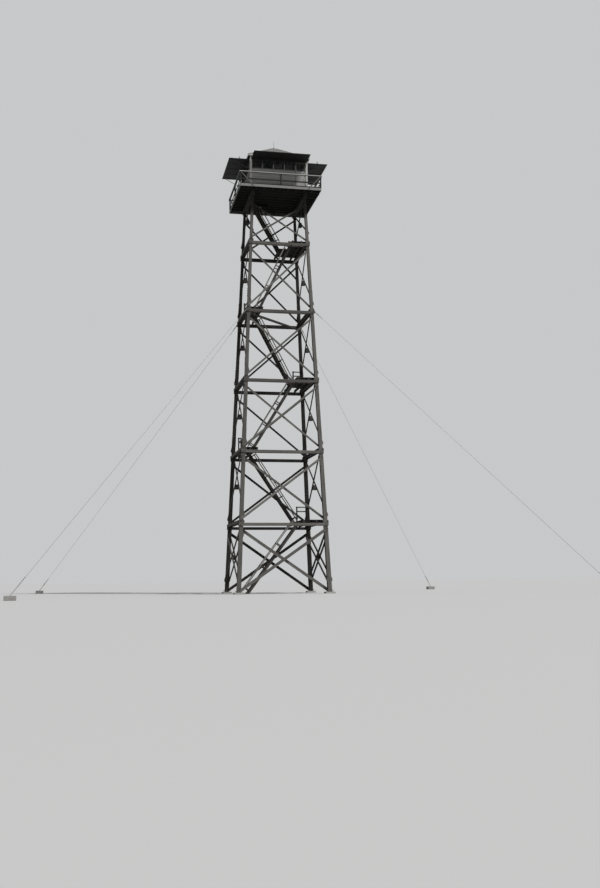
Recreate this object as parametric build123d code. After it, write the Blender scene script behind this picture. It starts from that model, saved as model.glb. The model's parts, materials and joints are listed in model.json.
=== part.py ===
from build123d import *
import itertools
import math
import os

os.makedirs("parts", exist_ok=True)

# Sizes are millimetres; the origin is on the ground midway between the four legs.
# The front of the tower faces -Y; faces are numbered front 0, right 1, rear 2, left 3.

# Footings and legs
pier_height = 120
pier_top_width = 640
pier_base_width = 740
half_spread_ground = 3250
batter = 0.0434
leg_width_low = 300
leg_width_top = 195

# Girts, one pair of planks on every face at each level
first_girt = 4880
bay_height = 5205
level_count = 5
top_bay_height = 3650
leg_top = first_girt + (level_count - 1) * bay_height + top_bay_height
girt_depth = 200
girt_thickness = 60
girt_overhang = 40
filler_rise = 60
filler_depth = 50

# Cross braces on the faces
brace_thickness = 55
brace_depths = [210, 165, 140, 135, 130, 125]
brace_end_inset = 12
front_foot_rise = 60
front_low_head_offset = 340
front_brace_offset = 400
side_foot_rise = 920
side_foot_offset = 760
side_head_offset = 300
side_top_foot_offset = 1000
pair_head_offset = 720
front_top_offset = 530
side_top_offset = 150
rear_top_offset = 350
long_brace_drop = 1430
long_brace_top_offset = 680
long_brace_depth = 130
pass_gap = 3
spacer_height = 380
spacer_width = 230
spacer_notch = 130
plan_brace_depth = 140
plan_brace_width = 150

# Leg splices and shoes
splice_levels = [1, 2, 3]
splice_rise = 1030
splice_length = 700
splice_width = 150
plate_thickness = 14
shoe_length = 170
shoe_foot = 110
shoe_width = 170

# Landings inside the tower
landing_thickness = 50
landing_bearer_width = 75
landing_gap = 6
landing_edge_1 = 1400
landing_edge_2 = -1800
landing_edge_3 = 1170
landing_edge_4 = -1300
landing_edge_5 = 970
top_landing_rear_edge = 350
landing_margin = 200
bearer_share = 0.62
guard_height = 1250
guard_spacing = 320
guard_start = 480
side_guard_height = 900
guard_post = 90
guard_rail_depth = 90
guard_rail_thickness = 40

# Flights of stairs
flight_width = 520
stringer_thickness = 45
stringer_depth = 185
tread_thickness = 45
tread_depth = 190
tread_spacing = 235
flight_offset_ratio = 0.42
flight_foot_1 = -2490
flight_foot_2 = 1625
flight_foot_3 = -2020
flight_foot_4 = 1390
flight_foot_5 = -1520
flight_foot_6 = 570
handrail_height = 640
rail_post_width = 70
rail_post_thickness = 50
handrail_depth = 68
handrail_thickness = 40

# Platform under the cab
catwalk_width = 880
cap_depth = 330
cap_width = 240
cap_end = 2400
joist_depth = 190
joist_width = 50
joist_spacing = 610
deck_thickness = 75
fascia_thickness = 40
hatch_start = -1730
hatch_length = 1450
hatch_side_gap = 115
board_gap = 1

# Catwalk railing
rail_height = 875
catwalk_post = 90
top_rail_depth = 60
top_rail_width = 140
top_rail_overhang = 50
mid_rail_height = 365
mid_rail_depth = 105
mid_rail_thickness = 35
corner_brace_run = 1060
corner_brace_depth = 90
corner_brace_thickness = 30

# Cab
cab_half = 2170
wall_thickness = 100
wall_height = 2405
cab_floor_rise = 225
cab_floor_thickness = 50
window_bays = 5
mullion = 80
sill_height = 1505
window_height = 655
sash_width = 45
sash_thickness = 45
glass_thickness = 6
corner_board = 140
corner_board_thickness = 25
door_thickness = 45
door_gap = 4
door_light_sill = 1250

# Roof and shutters
eave_overhang = 130
eave_depth = 110
eave_thickness = 28
roof_rise = 1560
roof_thickness = 90
ceiling_thickness = 25
shutter_side_inset = 65
shutter_reach = 1545
shutter_thickness = 40
hinge_gap = 5
prop_width = 35
prop_inset = 150
peg_width = 50
peg_height = 150
peg_edge_inset = 60
rod_radius = 11
rod_height = 450
rod_base_radius = 35
rod_base_height = 60

# Guys
guy_levels = [3]
guy_plate_rise = 20
guy_plate_height = 140
guy_plate_length = 150
guy_plate_thickness = 16
lug_setback = 40
lug_radius = 22
lug_length = 140
cable_radius = 8
socket_radius = 28
socket_length = 320
anchor_spread = 17600
anchor_width = 620
anchor_height = 260
anchor_rod_radius = 18
anchor_rod_length = 700

platform_half = cab_half + catwalk_width
shutter_half = cab_half - shutter_side_inset
landing_edges = [landing_edge_1, landing_edge_2, landing_edge_3, landing_edge_4, landing_edge_5]
flight_feet = [flight_foot_1, flight_foot_2, flight_foot_3, flight_foot_4, flight_foot_5,
               flight_foot_6]

DIRECTIONS = [(0, -1), (1, 0), (0, 1), (-1, 0)]
CORNERS = [(-1, -1), (1, -1), (1, 1), (-1, 1)]
TOP_OFFSETS = [front_top_offset, side_top_offset, rear_top_offset, side_top_offset]


def half(z):
    return half_spread_ground - batter * z


def width(z):
    share = (z - pier_height) / (leg_top - pier_height)
    return leg_width_low + (leg_width_top - leg_width_low) * share


def outer(z):
    return half(z) + width(z) / 2


def inner(z):
    return half(z) - width(z) / 2


def level(number):
    """Height of a girt's centre; level 0 is the lowest."""
    return first_girt + number * bay_height


def prism(points, sweep):
    wire = Wire.make_polygon([Vector(*p) for p in points], close=True)
    return Solid.extrude(Face(wire), Vector(*sweep))


def box(x0, x1, y0, y1, z0, z1):
    corners = [(x0, y0, z0), (x1, y0, z0), (x1, y1, z0), (x0, y1, z0)]
    return prism(corners, (0, 0, z1 - z0))


def face_point(face, along, out, z):
    """A point on one face: along runs to the right as seen from outside."""
    dx, dy = DIRECTIONS[face]
    return (out * dx - along * dy, out * dy + along * dx, z)


def face_board(face, outline, plane, thickness):
    """A board whose inner side lies on the plane and grows outward."""
    dx, dy = DIRECTIONS[face]
    points = [face_point(face, s, plane(z), z) for s, z in outline]
    return prism(points, (dx * thickness, dy * thickness, 0))


def face_box(face, s0, s1, out0, out1, z0, z1):
    outline = [(s0, z0), (s1, z0), (s1, z1), (s0, z1)]
    return face_board(face, outline, lambda z: out0, out1 - out0)


def ring_boards(reach, thickness, z0, z1):
    """Four boards round a square; the side ones fit between the front and rear ones."""
    boards = []
    for face in range(4):
        length = reach if face in (0, 2) else reach - thickness - board_gap
        boards.append(face_box(face, -length, length, reach - thickness, reach, z0, z1))
    return boards


def frustum(x0, y0, w0, z0, x1, y1, w1, z1):
    """A square post whose foot and head are level; it may lean and taper."""
    low = [Vector(x0 + i * w0 / 2, y0 + j * w0 / 2, z0) for i, j in CORNERS]
    high = [Vector(x1 + i * w1 / 2, y1 + j * w1 / 2, z1) for i, j in CORNERS]
    faces = [Face(Wire.make_polygon(low)), Face(Wire.make_polygon(high))]
    for k in range(4):
        n = (k + 1) % 4
        faces.append(Face(Wire.make_polygon([low[k], low[n], high[n], high[k]])))
    return Solid(Shell(faces))


def leg_length(corner, z0, z1, extra=0):
    i, j = corner
    return frustum(i * half(z0), j * half(z0), width(z0) + extra, z0,
                   i * half(z1), j * half(z1), width(z1) + extra, z1)


def save(name, solids):
    shapes = list(solids)
    part = shapes[0] if len(shapes) == 1 else Compound(children=shapes)
    part.label = name
    export_step(part, "parts/" + name + ".step")


# Derived heights
joist_base = leg_top + cap_depth
joist_top = joist_base + joist_depth
deck_top = joist_top + deck_thickness
cab_floor = deck_top + cab_floor_rise
wall_top = deck_top + wall_height
rail_top = deck_top + rail_height
levels = [level(k) for k in range(level_count)]


def landing_top(number):
    return level(number) + girt_depth * 3 / 2 + landing_thickness


# Footings: leg piers and guy anchor blocks
footings = []
for i, j in CORNERS:
    x, y = i * half(pier_height), j * half(pier_height)
    footings.append(frustum(x, y, pier_base_width, 0, x, y, pier_top_width, pier_height))
    x, y = i * anchor_spread, j * anchor_spread
    footings.append(box(x - anchor_width / 2, x + anchor_width / 2,
                        y - anchor_width / 2, y + anchor_width / 2, 0, anchor_height))
save("footings", footings)

# Legs
for name, corner in zip(["front_left", "front_right", "rear_right", "rear_left"], CORNERS):
    save("leg_" + name, [leg_length(corner, pier_height, leg_top)])

# Steel splice plates and shoes on the legs' side faces
plates = []
for i, j in CORNERS:
    for number in splice_levels:
        z0 = level(number) + splice_rise
        z1 = z0 + splice_length
        for plane, sweep in ((outer, i), (inner, -i)):
            points = []
            for z, side in ((z0, -1), (z0, 1), (z1, 1), (z1, -1)):
                points.append((i * plane(z), j * half(z) + side * splice_width / 2, z))
            plates.append(prism(points, (sweep * plate_thickness, 0, 0)))
    for plane, sweep in ((outer, i), (inner, -i)):
        z0, z1 = pier_height, pier_height + shoe_length
        y = j * half(z0)
        wing = []
        for z, side in ((z0, -1), (z0, 1), (z1, 1), (z1, -1)):
            wing.append((i * plane(z), y + side * shoe_width / 2, z))
        upright = prism(wing, (sweep * plate_thickness, 0, 0))
        x0 = i * plane(z0)
        x1 = x0 + sweep * shoe_foot
        foot = box(min(x0, x1), max(x0, x1), y - shoe_width / 2, y + shoe_width / 2,
                   z0, z0 + plate_thickness)
        leg = leg_length((i, j), pier_height, leg_top)
        plates.append((upright + foot - leg).solids()[0])
save("leg_splice_plates_and_shoes", plates)


def girt_pair(face, z0, z1):
    reach = outer(z0) + girt_overhang
    outline = [(-reach, z0), (reach, z0), (reach, z1), (-reach, z1)]
    outside = face_board(face, outline, outer, girt_thickness)
    inside = face_board(face, outline, lambda z: inner(z) - girt_thickness, girt_thickness)
    return [outside, inside]


def girt_filler(face, z0):
    """Flat board that closes the space between a pair of girts."""
    z1 = z0 + filler_depth
    reach = inner(z1) - brace_thickness - landing_gap
    outline = [(-reach, z0), (reach, z0), (reach, z1), (-reach, z1)]
    return face_board(face, outline, inner, width(z1))


front_rear = []
sides = []
girts_by_level = []
for zc in levels:
    low = zc - girt_depth / 2
    high = zc + girt_depth / 2
    across = girt_pair(0, low, high) + girt_pair(2, low, high)
    along = []
    for face in (1, 3):
        along += girt_pair(face, high, high + girt_depth)
        along.append(girt_filler(face, high + filler_rise))
    front_rear += across
    sides += along
    girts_by_level.append(across + along)
save("girts_front_and_rear", front_rear)
save("girts_sides", sides)


def diagonal(foot, head, depth, edge, inset, mirror):
    """Outline of a brace rising to the right, ended on the leg line given by edge."""
    p = (-half(foot), foot)
    q = (half(head), head)
    length = math.hypot(q[0] - p[0], q[1] - p[1])
    us, uz = (q[0] - p[0]) / length, (q[1] - p[1]) / length
    e0 = edge(0) - inset
    e1 = edge(0) - edge(1)
    corners = []
    for side in (-1, 1):
        s = p[0] - side * uz * depth / 2
        z = p[1] + side * us * depth / 2
        t_left = -(s + e0 - e1 * z) / (us - e1 * uz)
        t_right = -(s - e0 + e1 * z) / (us + e1 * uz)
        corners.append(((s + t_left * us, z + t_left * uz), (s + t_right * us, z + t_right * uz)))
    outline = [corners[0][0], corners[0][1], corners[1][1], corners[1][0]]
    if mirror:
        outline = [(-s, z) for s, z in outline]
    return trimmed(outline, pier_height)


def trimmed(outline, floor):
    """The part of an outline that lies above a level line."""
    kept = []
    for n, (s, z) in enumerate(outline):
        s_last, z_last = outline[n - 1]
        if (z - floor) * (z_last - floor) < 0:
            share = (floor - z_last) / (z - z_last)
            kept.append((s_last + (s - s_last) * share, floor))
        if z >= floor:
            kept.append((s, z))
    return kept


def crossing(foot, head):
    """Height at which two mirrored braces cross on the middle of the face."""
    share = half(foot) / (half(foot) + half(head))
    return foot + (head - foot) * share


def bay_ends(face, bay):
    """Foot and head heights of the braces in one bay."""
    on_side = face in (1, 3)
    if bay == 0:
        foot = pier_height + (side_foot_rise if on_side else front_foot_rise)
        head = level(bay) - (pair_head_offset if on_side else front_low_head_offset)
    elif bay == level_count:
        foot = level(bay - 1) + (side_top_foot_offset if on_side else front_brace_offset)
        head = leg_top - TOP_OFFSETS[face]
    else:
        foot = level(bay - 1) + (side_foot_offset if on_side else front_brace_offset)
        head = level(bay) - (side_head_offset if on_side else front_brace_offset)
    return foot, head


spacers = []
for face, name in enumerate(["front", "right", "rear", "left"]):
    planks = []
    for bay in range(level_count + 1):
        foot, head = bay_ends(face, bay)
        depth = brace_depths[bay]
        lap = diagonal(foot, head, depth, outer, brace_end_inset, False)
        back = diagonal(foot, head, depth, outer, brace_end_inset, True)
        zx = crossing(foot, head)
        if face == 2 and bay == level_count:
            # One long plank between the girts stands in for this plank of the cross.
            lap = diagonal(level(bay - 1) - long_brace_drop, leg_top - long_brace_top_offset,
                           long_brace_depth, inner, 0, False)
            planks.append(face_board(face, lap, lambda z: half(z) - brace_thickness / 2,
                                     brace_thickness))
        else:
            planks.append(face_board(face, lap, outer, brace_thickness))
        doubled = face in (1, 3) and bay == 0
        if doubled:
            butt = diagonal(foot, head, depth, inner, 0, True)
            planks.append(face_board(face, lap, lambda z: inner(z) - brace_thickness,
                                     brace_thickness))
            planks.append(face_board(face, butt, lambda z: inner(z) + pass_gap,
                                     brace_thickness))
            planks.append(face_board(face, butt,
                                     lambda z: outer(z) - brace_thickness - pass_gap,
                                     brace_thickness))
        else:
            planks.append(face_board(face, back, lambda z: inner(z) - brace_thickness,
                                     brace_thickness))
        if face in (1, 3):
            w = spacer_width / 2
            low = zx - spacer_height / 2
            high = zx + spacer_height / 2
            shape = [(-w, low), (-w / 3, low), (0, low + spacer_notch), (w / 3, low), (w, low),
                     (w / 2, high), (-w / 2, high)]
            cover = pass_gap + brace_thickness if doubled else 0
            base = []
            for s, z in shape:
                base.append(face_point(face, s, inner(z) + cover, z))
            top = []
            for s, z in shape:
                top.append(face_point(face, s, outer(z) - cover, z))
            sides_of_block = [Face(Wire.make_polygon([Vector(*v) for v in base])),
                              Face(Wire.make_polygon([Vector(*v) for v in top]))]
            for k in range(len(shape)):
                n = (k + 1) % len(shape)
                ring = [base[k], base[n], top[n], top[k]]
                sides_of_block.append(Face(Wire.make_polygon([Vector(*v) for v in ring])))
            spacers.append(Solid(Shell(sides_of_block)))
    save("braces_" + name, planks)
save("brace_spacer_blocks", spacers)

# Level brace across the tower under the girts that carry the guys
z1 = level(guy_levels[0]) - girt_depth / 2
z0 = z1 - plan_brace_depth
c = inner(z1) - landing_gap
k = plan_brace_width / math.sqrt(2)
corner_points = [(-c, -c, z0), (-c + k, -c, z0), (c, c - k, z0), (c, c, z0), (c - k, c, z0),
                 (-c, -c + k, z0)]
save("plan_brace", [prism(corner_points, (0, 0, z1 - z0))])


# Stairs: flights 1, 3 and 5 climb in the front half, 2, 4 and 6 in the rear half.
def flight_centre(z_low, z_high):
    return flight_offset_ratio * half((z_low + z_high) / 2)


flights = []
for number in range(level_count + 1):
    z_foot = 0 if number == 0 else landing_top(number - 1)
    z_head = cab_floor if number == level_count else landing_top(number)
    x_head = hatch_start if number == level_count else landing_edges[number]
    x_foot = flight_feet[number]
    way = 1 if x_foot > x_head else -1
    rise = z_head - z_foot
    run = abs(x_foot - x_head)
    yc = flight_centre(z_foot, z_head) * (-1 if number % 2 == 0 else 1)
    flights.append({"x_head": x_head, "z_head": z_head, "x_foot": x_foot, "z_foot": z_foot,
                    "way": way, "slope": math.atan2(rise, run), "yc": yc, "rise": rise,
                    "run": run})

stringers = []
tread_sets = {"front": [], "rear": []}
rail_posts = []
rails = []
half_clear = flight_width / 2
for number, f in enumerate(flights):
    way, slope, yc = f["way"], f["slope"], f["yc"]
    drop = stringer_depth / math.cos(slope)
    back = stringer_depth / math.sin(slope)
    side_outline = [(f["x_head"], f["z_head"]), (f["x_head"], f["z_head"] - drop),
                    (f["x_foot"] - way * back, f["z_foot"]), (f["x_foot"], f["z_foot"])]
    for side in (-1, 1):
        y0 = yc + side * half_clear
        stringers.append(prism([(x, y0, z) for x, z in side_outline],
                               (0, side * stringer_thickness, 0)))
    count = round(f["rise"] / tread_spacing)
    for n in range(1, count):
        top = f["z_foot"] + n * f["rise"] / count
        nose = f["x_foot"] - way * (top - f["z_foot"]) / math.tan(slope)
        tail = nose - way * tread_depth
        if way * (tail - f["x_head"]) < 0:
            tail = f["x_head"]
        tread_sets["front" if number % 2 == 0 else "rear"].append(
            box(min(nose, tail), max(nose, tail), yc - half_clear, yc + half_clear,
                top - tread_thickness, top))

    def edge_height(x):
        return f["z_head"] - abs(x - f["x_head"]) * math.tan(slope)

    # Posts stand square to the stringers, at these shares of the run from its head.
    shares = (0.05, 0.35, 0.65, 0.95)
    if number == level_count:
        shares = (0.22, 0.52, 0.82)
    along = (way * math.cos(slope), -math.sin(slope))
    upward = (way * math.sin(slope), math.cos(slope))
    post_low = -stringer_depth / 2
    post_high = handrail_height * math.cos(slope)
    for side in (-1, 1):
        y0 = yc + side * (half_clear + stringer_thickness)
        y1 = y0 + side * rail_post_thickness
        y2 = y1 + side * handrail_thickness
        for share in shares:
            x = f["x_head"] + way * share * f["run"]
            z = edge_height(x)
            points = []
            for a, b in ((-1, post_low), (1, post_low), (1, post_high), (-1, post_high)):
                a = a * rail_post_width / 2
                points.append((x + a * along[0] + b * upward[0], y0,
                               z + a * along[1] + b * upward[1]))
            rail_posts.append(prism(points, (0, y1 - y0, 0)))
        xa = f["x_head"] + way * (shares[0] * f["run"] - rail_post_width)
        xb = f["x_head"] + way * (shares[-1] * f["run"] + rail_post_width)
        fall = handrail_depth / math.cos(slope)
        shift = way * post_high * math.sin(slope)
        high = post_high * math.cos(slope)
        points = [(xa + shift, y1, edge_height(xa) + high),
                  (xb + shift, y1, edge_height(xb) + high),
                  (xb + shift, y1, edge_height(xb) + high - fall),
                  (xa + shift, y1, edge_height(xa) + high - fall)]
        rails.append(prism(points, (0, y2 - y1, 0)))
save("stair_stringers", stringers)
save("stair_treads_front_flights", tread_sets["front"])
save("stair_treads_rear_flights", tread_sets["rear"])

# Landings, their bearers and guards
landings = []
bearers = []


def span_box(x0, x1, y0, y1, z0, z1):
    """A box from two x values given in either order."""
    return box(min(x0, x1), max(x0, x1), y0, y1, z0, z1)


for number, edge in enumerate(landing_edges):
    side = 1 if edge > 0 else -1
    top = landing_top(number)
    base = top - landing_thickness
    far = side * (inner(top) - landing_gap)
    guard_far = side * (inner(top + guard_height) - brace_thickness - landing_gap)
    front = -inner(base) + girt_thickness + landing_gap
    lower, upper = flights[number], flights[number + 1]
    rail_out = half_clear + stringer_thickness + rail_post_thickness + handrail_thickness
    rear = max(lower["yc"], upper["yc"]) + rail_out + guard_post + landing_gap + landing_margin
    low = base - girt_depth
    reach = outer(base) + girt_thickness
    deck = span_box(edge, far, front, rear, base, top)
    if number == level_count - 1:
        # The top landing runs back to the rear girts and reaches under the last flight.
        rear = inner(base) - landing_gap
        deck = span_box(edge, far, front, rear, base, top)
        deck = deck + span_box(top_landing_rear_edge, far, 0, rear, base, top)
        bearers.append(box(top_landing_rear_edge, top_landing_rear_edge + landing_bearer_width,
                           0, reach, low, base))
        bearers.append(box(top_landing_rear_edge + landing_bearer_width, edge,
                           0, landing_bearer_width, low, base))
    landings.append(deck.solids()[0])
    inward = edge + side * bearer_share * abs(far - edge)
    for x in (edge, inward):
        bearers.append(span_box(x, x + side * landing_bearer_width, -reach, reach, low, base))
    # Rear guard between the flight and the side of the tower
    guard_line = min(rear, inner(top + guard_height) - guard_rail_thickness - 2 * landing_gap)
    post_y0 = guard_line - guard_post
    start = edge + side * guard_start
    for x in (start, guard_far - side * guard_post):
        rail_posts.append(span_box(x, x + side * guard_post, post_y0, guard_line, top,
                                   top + guard_height))
    for height in (guard_height, guard_height - guard_spacing):
        rails.append(span_box(start, guard_far, guard_line, guard_line + guard_rail_thickness,
                              top + height - guard_rail_depth, top + height))
    if side < 0:
        # Side guard of a left-hand landing, from the rear guard to the middle
        rail_top_z = top + side_guard_height
        rail_posts.append(box(guard_far, guard_far + guard_post, -guard_post, 0, top, rail_top_z))
        rails.append(box(guard_far, guard_far + guard_rail_thickness, 0, post_y0,
                         rail_top_z - guard_rail_depth, rail_top_z))
save("landing_decks", landings)
save("landing_bearers", bearers)
save("stair_rail_posts", rail_posts)
save("stair_handrails", rails)

# Platform: caps on the legs, joists around the hatch, short joists at the front and rear
# edges, deck and fascia
caps = []
for side in (-1, 1):
    x = side * half(leg_top)
    caps.append(box(x - cap_width / 2, x + cap_width / 2, -cap_end, cap_end, leg_top,
                    joist_base))
save("cap_beams", caps)

top_flight = flights[level_count]
hatch_x0 = hatch_start
hatch_x1 = hatch_start + hatch_length
hatch_y0 = top_flight["yc"] - half_clear - stringer_thickness - hatch_side_gap
hatch_y1 = top_flight["yc"] + half_clear + stringer_thickness + hatch_side_gap
rim = cap_end - joist_width / 2
trim_front = hatch_y0 - joist_width / 2
trim_rear = hatch_y1 + joist_width / 2


def spaced(start, end):
    """Even positions from start up to end, both included."""
    count = max(1, math.ceil(abs(end - start) / joist_spacing))
    return [start + (end - start) * n / count for n in range(count + 1)]


joist_end = platform_half - fascia_thickness
joists = []
for y in spaced(-rim, trim_front) + spaced(trim_rear, rim):
    joists.append(box(-joist_end, joist_end, y - joist_width / 2, y + joist_width / 2,
                      joist_base, joist_top))
middle = (hatch_y0 + hatch_y1) / 2
header_left = hatch_x0 - joist_width
header_right = hatch_x1 + joist_width
joists.append(box(-joist_end, header_left, middle - joist_width / 2, middle + joist_width / 2,
                  joist_base, joist_top))
joists.append(box(header_right, joist_end, middle - joist_width / 2, middle + joist_width / 2,
                  joist_base, joist_top))
joists.append(box(header_left, hatch_x0, hatch_y0, hatch_y1, joist_base, joist_top))
joists.append(box(hatch_x1, header_right, hatch_y0, hatch_y1, joist_base, joist_top))
for x in spaced(-joist_end + joist_width / 2, joist_end - joist_width / 2):
    for y0, y1 in ((-joist_end, -cap_end), (cap_end, joist_end)):
        joists.append(box(x - joist_width / 2, x + joist_width / 2, y0, y1,
                          joist_base, joist_top))
save("deck_joists", joists)

hatch_void = box(hatch_x0, hatch_x1, hatch_y0, hatch_y1, joist_base, cab_floor + joist_depth)
deck = box(-platform_half, platform_half, -platform_half, platform_half, joist_top, deck_top)
save("catwalk_deck", [(deck - hatch_void).solids()[0]])

save("catwalk_fascia", ring_boards(platform_half, fascia_thickness, joist_base, joist_top))

# Catwalk railing
posts = []
spots = set()
near = platform_half - catwalk_post / 2
for face in range(4):
    for s in (-near, 0):
        x, y, z = face_point(face, s, near, deck_top)
        spots.add((round(x, 3), round(y, 3)))
post_top = rail_top - top_rail_depth
for x, y in sorted(spots):
    posts.append(box(x - catwalk_post / 2, x + catwalk_post / 2, y - catwalk_post / 2,
                     y + catwalk_post / 2, deck_top, post_top))
save("catwalk_rail_posts", posts)

rail_out = platform_half + top_rail_overhang
save("catwalk_top_rails", ring_boards(rail_out, top_rail_width, post_top, rail_top))

mid_rails = []
for face in range(4):
    for s0, s1 in ((-near + catwalk_post / 2, -catwalk_post / 2),
                   (catwalk_post / 2, near - catwalk_post / 2)):
        mid_rails.append(face_box(face, s0, s1, near - mid_rail_thickness / 2,
                                  near + mid_rail_thickness / 2,
                                  deck_top + mid_rail_height - mid_rail_depth,
                                  deck_top + mid_rail_height))
save("catwalk_mid_rails", mid_rails)

corner_braces = []
brace_low = joist_base
for face in range(4):
    for hand in (-1, 1):
        s_top = hand * (platform_half - catwalk_post)
        s_low = hand * (platform_half - corner_brace_run)
        outline = [(s_top, post_top), (s_top + hand * catwalk_post * 0.9, post_top),
                   (s_low + hand * corner_brace_depth, brace_low), (s_low, brace_low)]
        corner_braces.append(face_board(face, outline, lambda z: platform_half,
                                        corner_brace_thickness))
save("catwalk_corner_braces", corner_braces)

# Cab floor, raised on its own joists that are built in with it
inside = cab_half - wall_thickness
floor = box(-inside, inside, -inside, inside, cab_floor - cab_floor_thickness, cab_floor)
floor = floor - hatch_void
floor_base = cab_floor - cab_floor_thickness
for x in (-inside + joist_width / 2, hatch_x0 - joist_width / 2, hatch_x1 + joist_width / 2,
          (hatch_x1 + inside) / 2, inside - joist_width / 2):
    floor = floor + box(x - joist_width / 2, x + joist_width / 2, -inside, inside,
                        deck_top, floor_base)
save("cab_floor", [floor.solids()[0]])

# Cab walls with their window openings
bay_width = 2 * inside / window_bays
sill = deck_top + sill_height
window_head = sill + window_height
door_bay = window_bays - 1


def bay_span(number):
    left = -inside + number * bay_width + mullion / 2
    return left, left + bay_width - mullion


sashes = []
panes = []
for face, name in enumerate(["front", "right", "rear", "left"]):
    length = cab_half if face in (0, 2) else inside
    wall = face_box(face, -length, length, inside, cab_half, deck_top, wall_top)
    for number in range(window_bays):
        s0, s1 = bay_span(number)
        if face == 0 and number == door_bay:
            wall = wall - face_box(face, s0, s1, inside, cab_half, cab_floor, window_head)
            continue
        wall = wall - face_box(face, s0, s1, inside, cab_half, sill, window_head)
        centre = (inside + cab_half) / 2
        frame = face_box(face, s0, s1, centre - sash_thickness / 2, centre + sash_thickness / 2,
                         sill, window_head)
        light = (s0 + sash_width, s1 - sash_width)
        frame = frame - face_box(face, light[0], light[1], inside, cab_half,
                                 sill + sash_width, window_head - sash_width)
        sashes.append(frame.solids()[0])
        panes.append(face_box(face, light[0], light[1], centre - glass_thickness / 2,
                              centre + glass_thickness / 2, sill + sash_width,
                              window_head - sash_width))
    save("cab_wall_" + name, [wall.solids()[0]])

s0, s1 = bay_span(door_bay)
centre = (inside + cab_half) / 2
door = face_box(0, s0 + door_gap, s1 - door_gap, centre - door_thickness / 2,
                centre + door_thickness / 2, cab_floor, window_head - door_gap)
light = (s0 + 2.4 * sash_width, s1 - 2.4 * sash_width)
light_low = cab_floor + door_light_sill
light_high = window_head - 2.4 * sash_width
door = door - face_box(0, light[0], light[1], inside, cab_half, light_low, light_high)
save("cab_door", [door.solids()[0]])
panes.append(face_box(0, light[0], light[1], centre - glass_thickness / 2,
                      centre + glass_thickness / 2, light_low, light_high))
save("window_sashes", sashes)
save("window_glass", panes)

boards = []
for i, j in CORNERS:
    x, y = i * cab_half, j * cab_half
    cover = corner_board_thickness
    block = box(min(x - i * corner_board, x + i * cover), max(x - i * corner_board, x + i * cover),
                min(y - j * corner_board, y + j * cover), max(y - j * corner_board, y + j * cover),
                deck_top, wall_top)
    body = box(-cab_half, cab_half, -cab_half, cab_half, deck_top, wall_top)
    boards.append((block - body).solids()[0])
save("cab_corner_boards", boards)

# Roof: hollow hip roof with eave boards, closed below by a ceiling
eave_half = cab_half + eave_overhang
eave_base = wall_top
apex = eave_base + eave_depth + roof_rise


def pyramid(half_width, z0, height):
    base = [Vector(i * half_width, j * half_width, z0) for i, j in CORNERS]
    tip = Vector(0, 0, z0 + height)
    faces = [Face(Wire.make_polygon(base))]
    for n in range(4):
        faces.append(Face(Wire.make_polygon([base[n], base[(n + 1) % 4], tip])))
    return Solid(Shell(faces))


slab = box(-eave_half, eave_half, -eave_half, eave_half, eave_base, eave_base + eave_depth)
roof = slab + pyramid(eave_half, eave_base + eave_depth, roof_rise)
slope_drop = roof_thickness / math.cos(math.atan2(roof_rise, eave_half))
void_base = eave_base + ceiling_thickness
void_height = apex - slope_drop - void_base
void_half = min(inside, void_height * eave_half / roof_rise)
roof = roof - pyramid(void_half, void_base, void_half * roof_rise / eave_half)
save("roof", [roof.solids()[0]])

save("roof_eave_boards", ring_boards(eave_half + eave_thickness, eave_thickness, eave_base,
                                     eave_base + eave_depth))

# Shutters propped open level with their hinges, their props and the pegs on the side shutters
hinge_out = cab_half + corner_board_thickness
shutter_base = window_head + hinge_gap
shutter_out = hinge_out + shutter_reach
for face, name in enumerate(["front", "right", "rear", "left"]):
    save("shutter_" + name, [face_box(face, -shutter_half, shutter_half, hinge_out, shutter_out,
                                      shutter_base, shutter_base + shutter_thickness)])

props = []
prop_out = shutter_out - prop_inset
prop_foot = sill - prop_width * 2
prop_cut = prop_width * 1.3
for face in range(4):
    for hand in (-1, 1):
        s = hand * (shutter_half - prop_inset) - prop_width / 2
        profile = [(cab_half, prop_foot), (cab_half, prop_foot + prop_cut),
                   (prop_out - prop_cut, shutter_base), (prop_out, shutter_base)]
        points = [face_point(face, s, out, z) for out, z in profile]
        start = Vector(*face_point(face, s, 0, 0))
        end = Vector(*face_point(face, s + prop_width, 0, 0))
        sweep = end - start
        props.append(prism(points, (sweep.X, sweep.Y, sweep.Z)))
peg_base = shutter_base + shutter_thickness
for side in (-1, 1):
    x = side * (hinge_out + shutter_reach / 2)
    y = -shutter_half + peg_edge_inset
    props.append(box(x - peg_width / 2, x + peg_width / 2, y - peg_width / 2, y + peg_width / 2,
                     peg_base, peg_base + peg_height))
save("shutter_props", props)

# Lightning rod on a small base saddled over the peak
saddle_low = apex - rod_base_radius * roof_rise / eave_half
rod = Pos(0, 0, (saddle_low + apex + rod_base_height) / 2) * Cylinder(
    rod_base_radius, apex + rod_base_height - saddle_low)
rod = rod + Pos(0, 0, apex + rod_base_height + rod_height / 2) * Cylinder(rod_radius, rod_height)
rod = rod - pyramid(eave_half, eave_base + eave_depth, roof_rise)
save("lightning_rod", [rod.solids()[0]])


# Guys: plate at the outer corner of each leg, taut cable with end sockets, rod out of the anchor block
def bar(start, direction, length, radius):
    plane = Plane(origin=start, z_dir=direction)
    return Solid.make_cylinder(radius, length, plane)


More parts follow.
